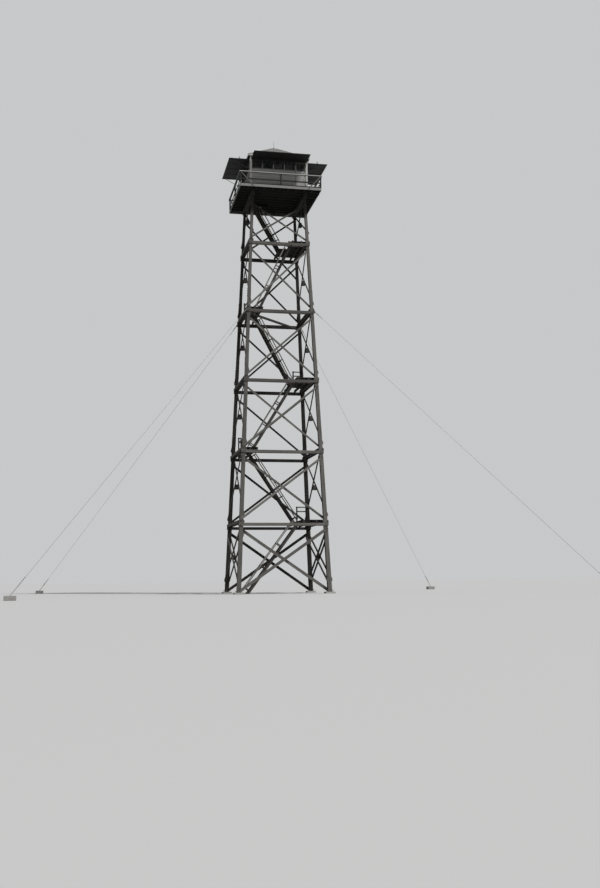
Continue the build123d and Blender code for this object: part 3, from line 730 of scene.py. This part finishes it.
def bolt_end(washer_radius):
    """A nut on a round washer with the bolt's end standing out, on the XY plane."""
    bm = bmesh.new()
    washer = 0.006
    nut = washer + 0.018
    add_rod(bm, washer_radius, 0.0, washer, 10)
    add_rod(bm, washer_radius * 0.62, washer, nut, 6)
    add_rod(bm, washer_radius * 0.30, nut, nut + 0.010, 6)
    return as_mesh(bm, "bolt_end")


def end_bolts(node, inset, pair_gap):
    """Bolt places on both wide faces near both ends of every member of a node."""
    spots = []
    for _, centre, axes, half in members(solid_mesh(node)):
        if half[0] < 3 * half[1]:
            continue
        for hand, side, n in product(HANDS, HANDS, range(2)):
            facing = side * axes[:, 2]
            reach = half[0] - inset - n * pair_gap
            shift = (n - 0.5) * half[1] * 0.5
            place = centre + hand * reach * axes[:, 0] + shift * axes[:, 1] + facing * half[2]
            spots.append((place, facing, axes[:, 0]))
    return spots


def plate_bolts(node, count):
    """Bolt places in a line down the outer face of every plate of a node."""
    spots = []
    for _, centre, axes, half in members(solid_mesh(node)):
        facing = axes[:, 2]
        if facing[:2] @ centre[:2] < 0:
            facing = -facing
        for n in range(count):
            reach = half[0] * (2 * n + 1 - count) / count
            spots.append((centre + reach * axes[:, 0] + facing * half[2], facing, axes[:, 0]))
    return spots


def sizes_and_colours(context):
    """The scene's sizes and colours."""
    return context.scene.lookout_sizes, context.scene.lookout_colours


class LOOKOUT_OT_timbers(bpy.types.Operator):
    """Dress the legs, girts, braces, beams and joists with grained wood, painted lighter on upper and
    outer faces and with painted shade below and under the platform
    """

    bl_idname = "lookout.timbers"
    bl_label = "Structural timbers"

    def execute(self, context):
        sizes, colours = sizes_and_colours(context)
        # The platform's shadow is painted on the timbers: above shadow_depth below the cap beams the
        # wood is kept dark.
        shadow_depth = 1.5
        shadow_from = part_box("cap_beams")[0][2] - shadow_depth
        wood = timber("creosoted_timber", colours.timber_dark, colours.timber_light, shadow_from)
        # The platform timber is kept near black as painted shade under the deck.
        shaded = timber("platform_timber", colours.deck_dark, colours.deck_light)
        nodes = [n for n in sorted(frame["nodes"]) if n.startswith(
            ("leg_front", "leg_rear", "girts", "braces", "brace_", "plan_"))]
        dressed_copies(nodes, wood, sizes.timber_round, 0)
        dressed_copies(("cap_beams", "deck_joists"), shaded, sizes.timber_round, 80)
        return {"FINISHED"}


class LOOKOUT_OT_stairs(bpy.types.Operator):
    """Dress the stringers, treads, landing bearers, posts and handrails"""

    bl_idname = "lookout.stairs"
    bl_label = "Stairs and rails"

    def execute(self, context):
        sizes, colours = sizes_and_colours(context)
        # Upper faces take the lighter colour and lower faces the darker one, as painted light and shade;
        # the handrails are mixed with a darker copy of their colour the same way.
        planks = timber("stair_wood", colours.timber_dark, colours.stair_light)
        rails = timber("handrail_wood", shade(colours.handrail, 0.6), colours.handrail)
        dressed_copies(("landing_bearers", "stair_stringers", "stair_treads_front_flights",
                        "stair_treads_rear_flights", "stair_rail_posts"),
                       planks, sizes.board_round, 100)
        dressed_copy("stair_handrails", rails, sizes.board_round, 110)
        return {"FINISHED"}


class LOOKOUT_OT_decks(bpy.types.Operator):
    """Lay the boards of the landings and of the catwalk"""

    bl_idname = "lookout.decks"
    bl_label = "Deck boards"

    def execute(self, context):
        sizes, colours = sizes_and_colours(context)
        # The deck boards take the near black platform colours, as painted shade under and along the
        # platform.
        wood = timber("deck_wood", colours.deck_dark, colours.deck_light)
        rows = board_rows()
        uneven = (0.0, 0.0, -0.004)

        outline = solid_mesh("landing_decks")
        corners = points_of(outline)
        layers = []
        for seed, (own, _, _, _) in enumerate(members(outline), 20):
            low, high = corners[own].min(0), corners[own].max(0)
            layers.append(boards_over(rows, outline.copy(), low, high, 1, sizes.deck_board,
                                      sizes.deck_gap, uneven, seed, wood))
        planks = resurfaced(join(layers, "landing_boards"), sizes.board_round)
        piece("landing_boards", planks, wood, SLOTS["landing_decks"], "landing_decks", seed=120)

        low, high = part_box("catwalk_deck")
        planks = boards_over(rows, solid_mesh("catwalk_deck"), low, high, 0, sizes.deck_board,
                             sizes.deck_gap, uneven, 30, wood)
        planks = resurfaced(planks, sizes.board_round)
        piece("catwalk_boards", planks, wood, SLOTS["catwalk_deck"], "catwalk_deck", seed=121)
        dressed_copy("cab_floor", wood, sizes.board_round, 122)
        return {"FINISHED"}


class LOOKOUT_OT_catwalk(bpy.types.Operator):
    """Paint the catwalk's fascia, posts, rails and corner braces"""

    bl_idname = "lookout.catwalk"
    bl_label = "Catwalk rails"

    def execute(self, context):
        sizes, colours = sizes_and_colours(context)
        # Each paint is darkened on lower and inner faces as painted shade, the top rail's underside most
        # strongly.
        fascia = painted("fascia_paint", colours.fascia_paint, 0.7)
        rail = painted("rail_paint", colours.rail_paint, 0.7, 0.1)
        dark = painted("post_paint", colours.dark_paint, 0.0, 0.35, 0.5)
        brace = painted("corner_brace_paint", shade(colours.fascia_paint, 0.6), 0.4, 0.2)
        width = sizes.board_round
        dressed_copy("catwalk_fascia", fascia, width, 130)
        dressed_copy("catwalk_top_rails", rail, width, 131)
        dressed_copies(("catwalk_mid_rails", "catwalk_rail_posts"), dark, width, 132)
        dressed_copy("catwalk_corner_braces", brace, width, 134)
        return {"FINISHED"}


class LOOKOUT_OT_cab(bpy.types.Operator):
    """Cover the cab with lap siding, casings and corner boards, and hang its door"""

    bl_idname = "lookout.cab"
    bl_label = "Cab walls and windows"

    def execute(self, context):
        sizes, colours = sizes_and_colours(context)
        (_, _, deck), (half, _, wall_top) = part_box("cab_wall_front")
        (_, _, sill), (_, _, head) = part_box("window_sashes")
        corner_board = 0.14
        edge = half - corner_board
        # Above these heights the casings and the door are darkened as a painted shadow of the shutters.
        shaded_mullion = sill + 0.28
        shaded_door = sill - 0.02
        # Each paint is darkened on lower and inner faces as painted shade, so the walls' insides and the
        # laps' lower edges are dark.
        siding = painted("siding_paint", colours.siding_paint, 0.5, 0.1)
        trim = painted("trim_paint", colours.trim_paint, 0.6, 0.25)
        casing = painted("casing_paint", shade(colours.siding_paint, 0.62), 0.6, 0.25,
                         shadow_from=shaded_mullion)
        sash = painted("sash_paint", colours.dark_paint, 0.2, 0.35, 0.6)
        door = painted("door_paint", colours.door_paint, 0.4, 0.25, shadow_from=shaded_door)

        sill_board = 0.045
        self.siding(siding, half, edge, deck, sill - sill_board)
        casings = bmesh.new()
        friezes = bmesh.new()
        front = -half - sizes.casing_thickness
        back = -half + EMBED
        for face in range(4):
            blocks = bmesh.new()
            spans = self.openings(face)
            edges = [-edge] + [x for span in spans for x in span] + [edge]
            for x0, x1 in zip(edges[0::2], edges[1::2]):
                add_block(blocks, (x0, front, sill), (x1, back, head))
            # On the front the last opening is the door, which reaches below the sill board.
            windows = spans if face else spans[:-1]
            reach, nose = 0.07, 0.018
            add_block(blocks, (windows[0][0] - reach, front - nose, sill - sill_board),
                      (windows[-1][1] + reach, back, sill))
            for x0, x1 in self.door_sides(face, edge):
                add_block(blocks, (x0, front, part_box("cab_door")[0][2] - 0.03), (x1, back, sill))
            turn_about(blocks, face_turn(face))
            casings.from_mesh(as_mesh(blocks, "casing"))
            add_block(friezes, face_turn(face) @ Vector((-edge, front, head)),
                      face_turn(face) @ Vector((edge, back, wall_top - 0.002)))
        soften(casings, sizes.board_round)
        piece("window_casings", as_mesh(casings, "casings"), casing, SLOTS["window_sashes"], seed=206)
        # The friezes above the windows take the dark sash paint as a painted shadow of the shutters.
        soften(friezes, sizes.board_round)
        piece("frieze_boards", as_mesh(friezes, "friezes"), sash, SLOTS["cab_wall_front"], seed=211)
        dressed_copy("cab_corner_boards", trim, sizes.board_round, 207)
        dressed_copy("window_sashes", sash, sizes.board_round, 208)
        dressed_copy("roof_eave_boards", trim, sizes.board_round, 209)
        dressed_copy("cab_door", door, sizes.board_round, 210)
        self.door_fittings(door)
        repaint("window_glass", window_pane())
        return {"FINISHED"}

    def siding(self, paint, half, edge, low, high):
        """Lap siding on the four walls between two heights, and the walls behind it."""
        sizes = bpy.context.scene.lookout_sizes
        thick = sizes.siding_thickness
        tilt = math.asin(thick * 0.55 / sizes.siding_exposure)
        rows = board_rows()
        laps = []
        for face, side in enumerate(FACES):
            node = "cab_wall_" + side
            wall = solid_mesh(node)
            wall.transform(Matrix.Translation((0, -thick, 0)) @ face_turn(-face))
            mesh = boards_over(rows, wall, (-edge, -half - thick * 0.78, low + 0.004),
                               (edge, -half + 0.012, high), 2, sizes.siding_exposure, 0.004,
                               (0.0, 0.0, 0.0), face, paint, (-tilt, 0.0, 0.0))
            mesh.transform(face_turn(face))
            laps.append(mesh)
            dressed_copy(node, paint, sizes.board_round, 200 + face)
        laps = resurfaced(join(laps, "lap_siding"), sizes.board_round * 0.4)
        piece("cab_lap_siding", laps, paint, SLOTS["cab_wall_front"], seed=205)

    def openings(self, face):
        """Left and right edges of the windows and door of one face, seen from outside."""
        # Turned to the front, the wall's own openings lie before wall_line and show their width.
        wall_line = -1.5
        narrowest = 0.3
        found = []
        for node in ("window_sashes", "cab_door"):
            mesh = solid_mesh(node)
            mesh.transform(face_turn(-face))
            co = points_of(mesh)
            for own, _, _, _ in members(mesh):
                low, high = co[own].min(0), co[own].max(0)
                if high[1] < wall_line and high[0] - low[0] > narrowest:
                    found.append((float(low[0]), float(high[0])))
        return sorted(found)

    def door_sides(self, face, edge):
        """Left and right edges of the jamb strips beside the door, below the sill."""
        if face:
            return []
        jamb = 0.07
        low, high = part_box("cab_door")
        return [(low[0] - jamb, low[0]), (high[0], min(edge, high[0] + jamb))]

    def door_fittings(self, paint):
        """Rails and stiles round the door's lower panels, its hinges and its knob."""
        low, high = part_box("cab_door")
        glass_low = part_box("window_sashes")[0][2]
        front, back = low[1] - 0.012, low[1] + EMBED
        stile, side_gap, foot_gap = 0.105, 0.006, 0.01
        bm = bmesh.new()
        for x in (low[0] + side_gap, high[0] - stile - side_gap):
            add_block(bm, (x, front, low[2] + foot_gap), (x + stile, back, glass_low - 0.03))
        inner = stile + side_gap + EMBED
        for z, rail in ((low[2] + foot_gap, 0.19), (low[2] + 0.62, 0.11), (glass_low - 0.15, 0.12)):
            add_block(bm, (low[0] + inner, front, z), (high[0] - inner, back, z + rail))
        soften(bm, bpy.context.scene.lookout_sizes.board_round * 0.7)
        piece("door_panel_frame", as_mesh(bm, "door_frame"), paint, SLOTS["cab_door"], seed=212)

        # Hinges: a leaf, its barrel and three screws.
        iron = steel("door_iron", (0.07, 0.068, 0.065), 0.6)
        leaf = bmesh.new()
        half_leaf = 0.05
        add_block(leaf, (-half_leaf, -0.035, 0.0), (half_leaf, 0.0, 0.003))
        add_block(leaf, (-half_leaf, 0.0, -0.002), (half_leaf, 0.012, 0.010))
        for x in (-0.034, 0.0, 0.034):
            add_rod(leaf, 0.005, 0.002, 0.006, 6, (x, -0.018), 0.004)
        spots = [((low[0] + 0.002, front, low[2] + rise), (0, -1, 0), (0, 0, 1))
                 for rise in (0.22, 0.75, 1.22)]
        leaves = set_parts(as_mesh(leaf, "leaf"), spots, iron)

        # Knob: a rose, a neck and a flattened ball.
        knob = bmesh.new()
        add_rod(knob, 0.028, 0.0, 0.005, 16)
        add_rod(knob, 0.009, 0.004, 0.036, 10)
        flat = Matrix.Translation((0, 0, 0.05)) @ Matrix.Diagonal((1, 1, 0.75, 1))
        bmesh.ops.create_uvsphere(knob, u_segments=16, v_segments=10, radius=0.027, matrix=flat)
        spot = [((high[0] - stile / 2, front, low[2] + 0.92), (0, -1, 0), (0, 0, 1))]
        knobs = set_parts(as_mesh(knob, "knob"), spot, iron)
        piece("door_hinges_and_knob", join([leaves, knobs], "door_iron"), iron, SLOTS["guy_fittings"])


class LOOKOUT_OT_shutters(bpy.types.Operator):
    """Build the propped shutters from boards on a frame, with strap hinges"""

    bl_idname = "lookout.shutters"
    bl_label = "Shutters"

    def execute(self, context):
        sizes, colours = sizes_and_colours(context)
        # The shutter paint is darkened fully on the lower faces as painted shade.
        dark = painted("shutter_paint", shade(colours.dark_paint, 1.6), 0.0, 0.0, 0.4)
        iron = steel("hinge_iron", (0.06, 0.058, 0.055), 0.7)
        rows = board_rows()
        hinges = []
        board = 0.022
        rail = 0.11
        for face, side in enumerate(FACES):
            node = "shutter_" + side
            outline = solid_mesh(node)
            outline.transform(face_turn(-face))
            co = points_of(outline)
            low, high = co.min(0), co.max(0)
            top = high[2] - board
            skin = boards_over(rows, outline, (low[0], low[1], top), high, 0,
                               sizes.shutter_board, 0.003, (0.0, 0.0, -0.0015), 40 + face, dark)
            skin = resurfaced(skin, sizes.board_round * 0.5)
            bm = bmesh.new()
            middle = (low[0] + high[0]) / 2
            for x in (low[0] + rail / 2, (low[0] + middle) / 2, middle, (middle + high[0]) / 2,
                      high[0] - rail / 2):
                add_block(bm, (x - rail / 2, low[1] + rail, low[2]), (x + rail / 2, high[1] - rail, top))
            for y in (low[1], high[1] - rail):
                add_block(bm, (low[0], y, low[2]), (high[0], y + rail, top))
            soften(bm, sizes.board_round * 0.6)
            bm.from_mesh(skin)
            turned = as_mesh(bm, node)
            turned.transform(face_turn(face))
            piece(node + "_boards", turned, dark, SLOTS[node], node, seed=220 + face)
            outward = face_turn(face) @ Vector((0, -1, 0))
            for share in (0.08, 0.36, 0.64, 0.92):
                x = low[0] + (high[0] - low[0]) * share
                hinges.append((face_turn(face) @ Vector((x, high[1], high[2])),
                               Vector((0, 0, 1)), outward))
        # Each hinge is a strap with three bolt heads and a barrel across its end.
        strap = bmesh.new()
        add_block(strap, (0.0, -0.022, 0.0), (0.36, 0.022, 0.006))
        add_block(strap, (-0.004, -0.05, -0.001), (0.016, 0.05, 0.016))
        for x in (0.07, 0.18, 0.31):
            add_rod(strap, 0.011, 0.004, 0.012, 6, (x, 0), 0.008)
        scatter("shutter_hinges", as_mesh(strap, "strap"), hinges, iron, SLOTS["shutter_front"])
        dressed_copy("shutter_props", dark, sizes.board_round, 230)
        return {"FINISHED"}


class LOOKOUT_OT_roof(bpy.types.Operator):
    """Cover the hip roof with courses of shingles and hip caps"""

    bl_idname = "lookout.roof"
    bl_label = "Roof"

    def execute(self, context):
        sizes, colours = sizes_and_colours(context)
        finish = shingle_finish(colours.roof_grey)
        # The boards under the roof are lighter above and darker below as painted light and shade.
        under = timber("roof_boards", colours.timber_dark, colours.stair_light)
        dressed_copy("roof", under, sizes.board_round, 240)
        half, _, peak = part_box("roof")[1]
        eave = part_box("roof_eave_boards")[1][2]
        rise = peak - eave
        pitch = math.atan2(rise, half)
        slope = math.hypot(rise, half)
        over = 0.035
        thickness = 0.012
        exposure = sizes.shingle_exposure
        full_length = exposure * 1.9
        tree = shingle_courses()
        inputs = {
            "Width": sizes.shingle_width, "Exposure": exposure,
            "Across": math.ceil(2 * (half + over) / sizes.shingle_width) + 1,
            "Courses": math.ceil((slope + over) / exposure),
            "Unevenness": (0.006, 0.012, 0.003),
            "Shingle size": (sizes.shingle_width - 0.004, full_length, thickness),
            "Tilt": (-math.asin(thickness / exposure), 0.0, 0.0), "Finish": finish}
        slopes = []
        for face in range(4):
            rows = tree.grow(bpy.data.meshes.new("slope"), {**inputs, "Seed": 50 + face})
            rows.transform(Matrix.Translation((0, full_length / 2 - over, thickness * 0.9)))
            rows.transform(Matrix.Translation((0, -half, eave)) @ Matrix.Rotation(pitch, 4, "X"))
            bm = bmesh.new()
            bm.from_mesh(rows)
            for hand in HANDS:
                cut = bmesh.ops.bisect_plane(bm, geom=bm.verts[:] + bm.edges[:] + bm.faces[:],
                                             plane_co=(0, 0, 0), plane_no=(hand, 1, 0),
                                             clear_outer=True)
                rim = [e for e in cut["geom_cut"] if isinstance(e, bmesh.types.BMEdge)]
                bmesh.ops.holes_fill(bm, edges=rim)
            turn_about(bm, face_turn(face))
            slopes.append(as_mesh(bm, "slope"))
        piece("roof_shingles", join(slopes, "shingles"), finish, SLOTS["roof"], seed=241)

        spots = self.hip_spots(half, eave, rise, exposure, full_length)
        scatter("roof_hip_caps", self.hip_cap(pitch, full_length), spots, finish, SLOTS["roof"],
                seed=242)
        return {"FINISHED"}

    def hip_cap(self, pitch, full_length):
        """Two shingles folded over a hip that runs along X."""
        cap = bmesh.new()
        first = Vector((math.sin(pitch), 0, math.cos(pitch)))
        second = Vector((0, math.sin(pitch), math.cos(pitch)))
        sag = math.acos(first.dot((first + second).normalized()))
        for hand in HANDS:
            wing = bmesh.new()
            add_block(wing, (0, 0, -0.006), (full_length, 0.11, 0.006))
            turn_about(wing, Matrix.Rotation(-sag, 4, "X"))
            if hand < 0:
                bmesh.ops.scale(wing, vec=(1, -1, 1), verts=wing.verts)
                bmesh.ops.reverse_faces(wing, faces=wing.faces)
            cap.from_mesh(as_mesh(wing, "wing"))
        return as_mesh(cap, "hip_cap")

    def hip_spots(self, half, eave, rise, exposure, full_length):
        """Places of the caps up the four hips, each tipped a little over the one below."""
        tip = 0.09
        clearance = 0.042
        run = math.hypot(half * math.sqrt(2), rise)
        spots = []
        for i, j in ((-1, -1), (1, -1), (1, 1), (-1, 1)):
            foot = Vector((i * half, j * half, eave))
            up_hip = (Vector((0, 0, eave + rise)) - foot).normalized()
            facing = Vector((i * rise, j * rise, half)).normalized()
            facing = (facing - up_hip * facing.dot(up_hip)).normalized()
            tilt = (facing + up_hip * tip).normalized()
            lie = (up_hip - facing * tip).normalized()
            for n in range(math.ceil((run - full_length) / exposure)):
                spots.append((foot + up_hip * n * exposure + facing * clearance, tilt, lie))
        return spots


class LOOKOUT_OT_metalwork(bpy.types.Operator):
    """Set the bolts and finish the plates, cables, rod and footings"""

    bl_idname = "lookout.metalwork"
    bl_label = "Metalwork and footings"

    def execute(self, context):
        sizes = context.scene.lookout_sizes
        plain = steel("dull_galvanised_steel", (0.20, 0.20, 0.195), 0.5)
        iron = steel("bolt_iron", (0.085, 0.08, 0.075), 0.8)
        dressed_copy("leg_splice_plates_and_shoes", plain, sizes.steel_round)
        dressed_copy("guy_fittings", plain, sizes.steel_round)
        repaint("lightning_rod", plain)
        dressed_copy("footings", concrete(), sizes.steel_round * 8)

        bolt = bolt_end(sizes.washer_radius)
        inset = sizes.bolt_inset
        for name, spots in (
                ("brace_bolts", [spot for side in FACES
                                 for spot in end_bolts("braces_" + side, inset, inset)]),
                ("girt_bolts", end_bolts("girts_front_and_rear", inset, inset)
                 + end_bolts("girts_sides", inset, inset)),
                ("splice_bolts", plate_bolts("leg_splice_plates_and_shoes", 4)),
                ("spacer_bolts", plate_bolts("brace_spacer_blocks", 2))):
            scatter(name, bolt, spots, iron, SLOTS["guy_fittings"])
        self.cables()
        return {"FINISHED"}

    def cables(self):
        """The guy cables with the direction of their strands, and the clips at their ends."""
        first_clip, clip_gap = 0.42, 0.14
        mesh = solid_mesh("guy_cables")
        co = points_of(mesh)
        lay = np.zeros((len(co), 3))
        clips = []
        for own, centre, axes, half in members(mesh):
            along = (co[own] - centre) @ axes
            radius = np.maximum(np.hypot(along[:, 1], along[:, 2]), 1e-6)
            lay[own] = np.column_stack((along[:, 0], along[:, 1] / radius, along[:, 2] / radius))
            for hand, n in product(HANDS, range(3)):
                reach = half[0] - first_clip - clip_gap * n
                clips.append((centre + hand * reach * axes[:, 0], axes[:, 2], axes[:, 0]))
        store(mesh, "lay", "FLOAT_VECTOR", "POINT", lay)
        wire = cable_finish((0.40, 0.40, 0.39))
        piece("guy_cable_strands", mesh, wire, SLOTS["guy_cables"], "guy_cables")

        # A saddle under the cable, two threaded legs with their nuts, and the bow over it.
        clip = bmesh.new()
        add_block(clip, (-0.018, -0.032, -0.022), (0.018, 0.032, -0.006))
        for y in (-0.021, 0.021):
            add_rod(clip, 0.007, -0.045, 0.018, 8, (0, y))
            add_rod(clip, 0.013, -0.034, -0.022, 6, (0, y))
        add_block(clip, (-0.007, -0.028, 0.012), (0.007, 0.028, 0.026))
        soften(clip, 0.0015)
        zinc = steel("clip_steel", (0.24, 0.24, 0.235), 0.5)
        scatter("cable_clips", as_mesh(clip, "clip"), clips, zinc, SLOTS["guy_fittings"])


class LOOKOUT_OT_stage(bpy.types.Operator):
    """Make the plain floor, the soft light and the camera"""

    bl_idname = "lookout.stage"
    bl_label = "Stage"

    def execute(self, context):
        settings = context.scene.lookout_stage
        scene = context.scene
        size = 900.0
        mesh = bpy.data.meshes.new("floor")
        mesh.from_pydata([(-size, -size, 0), (size, -size, 0), (size, size, 0), (-size, size, 0)],
                         [], [(0, 1, 2, 3)])
        floor = in_scene("floor", mesh)
        ground = Finish("pale_floor")
        mesh.materials.append(ground.set(Base_Color=(0.52, 0.52, 0.515), Roughness=0.95))

        bearing = math.radians(settings.light_bearing)
        scene.world = self.sky(settings, (math.sin(bearing), -math.cos(bearing), 0.25))
        scene.view_settings.view_transform = "Standard"
        lamp = bpy.data.lights.new("key", "SUN")
        lamp.energy = settings.sun_strength
        lamp.angle = math.radians(9)
        key = in_scene("key", lamp)
        key.rotation_euler = (math.radians(settings.light_slant), 0, bearing)

        place = (-13.52, -76.29, 0.94)
        pitch, yaw, roll = 0.129, -0.1988, 0.0095
        turn = (Matrix.Rotation(yaw, 4, "Z") @ Matrix.Rotation(math.pi / 2 + pitch, 4, "X")
                @ Matrix.Rotation(-roll, 4, "Z"))
        lens = bpy.data.cameras.new("photo_view")
        lens.sensor_width = 36.0
        lens.lens = settings.lens
        lens.clip_end = 2000
        camera = in_scene("photo_view", lens)
        camera.matrix_world = Matrix.Translation(place) @ turn
        scene.camera = camera
        return {"FINISHED"}

    def sky(self, settings, brightest):
        """Soft light from all round, stronger on one side, behind a plain backdrop."""
        world = bpy.data.worlds.new("studio")
        world.use_nodes = True
        background = world.node_tree.nodes["Background"]
        background.inputs["Color"].default_value = (0.99, 1.0, 1.01, 1)
        builder = Builder(world.node_tree)
        way = builder.node("ShaderNodeTexCoord", out="Generated")
        nearness = builder.node("ShaderNodeVectorMath", {"operation": "DOT_PRODUCT"},
                                {0: way, 1: brightest}, out="Value")
        glow = builder.node("ShaderNodeMapRange", None, {
            "Value": nearness, "From Min": -1.0, "From Max": 1.0,
            "To Min": settings.sky_strength * 0.45, "To Max": settings.sky_strength * 1.55})
        seen = builder.node("ShaderNodeLightPath", out="Is Camera Ray")
        strength = builder.node("ShaderNodeMix", None, {0: seen, 2: glow, 3: settings.backdrop})
        builder.feed(background.inputs["Strength"], strength)
        return world


class LOOKOUT_PT_panel(bpy.types.Panel):
    """Lists the tower's steps"""

    bl_idname = "LOOKOUT_PT_panel"
    bl_label = "Lookout tower"
    bl_space_type = "VIEW_3D"
    bl_region_type = "UI"
    bl_category = "Lookout"

    def draw(self, context):
        column = self.layout.column()
        for operator in STEPS:
            column.operator(operator.bl_idname)


STEPS = (LOOKOUT_OT_timbers, LOOKOUT_OT_stairs, LOOKOUT_OT_decks, LOOKOUT_OT_catwalk,
         LOOKOUT_OT_cab, LOOKOUT_OT_shutters, LOOKOUT_OT_roof, LOOKOUT_OT_metalwork,
         LOOKOUT_OT_stage)
GROUPS = {"lookout_sizes": LookoutSizes, "lookout_colours": LookoutColours,
          "lookout_stage": LookoutStage}
register_classes, unregister_classes = bpy.utils.register_classes_factory(
    (*GROUPS.values(), *STEPS, LOOKOUT_PT_panel))


def register():
    register_classes()
    for name, group in GROUPS.items():
        setattr(bpy.types.Scene, name, PointerProperty(type=group))


def unregister():
    for name in GROUPS:
        delattr(bpy.types.Scene, name)
    unregister_classes()


def main():
    register()
    bpy.ops.lookout.timbers()
    bpy.ops.lookout.stairs()
    bpy.ops.lookout.decks()
    bpy.ops.lookout.catwalk()
    bpy.ops.lookout.cab()
    bpy.ops.lookout.shutters()
    bpy.ops.lookout.roof()
    bpy.ops.lookout.metalwork()
    bpy.ops.lookout.stage()


if __name__ == "__main__":
    main()
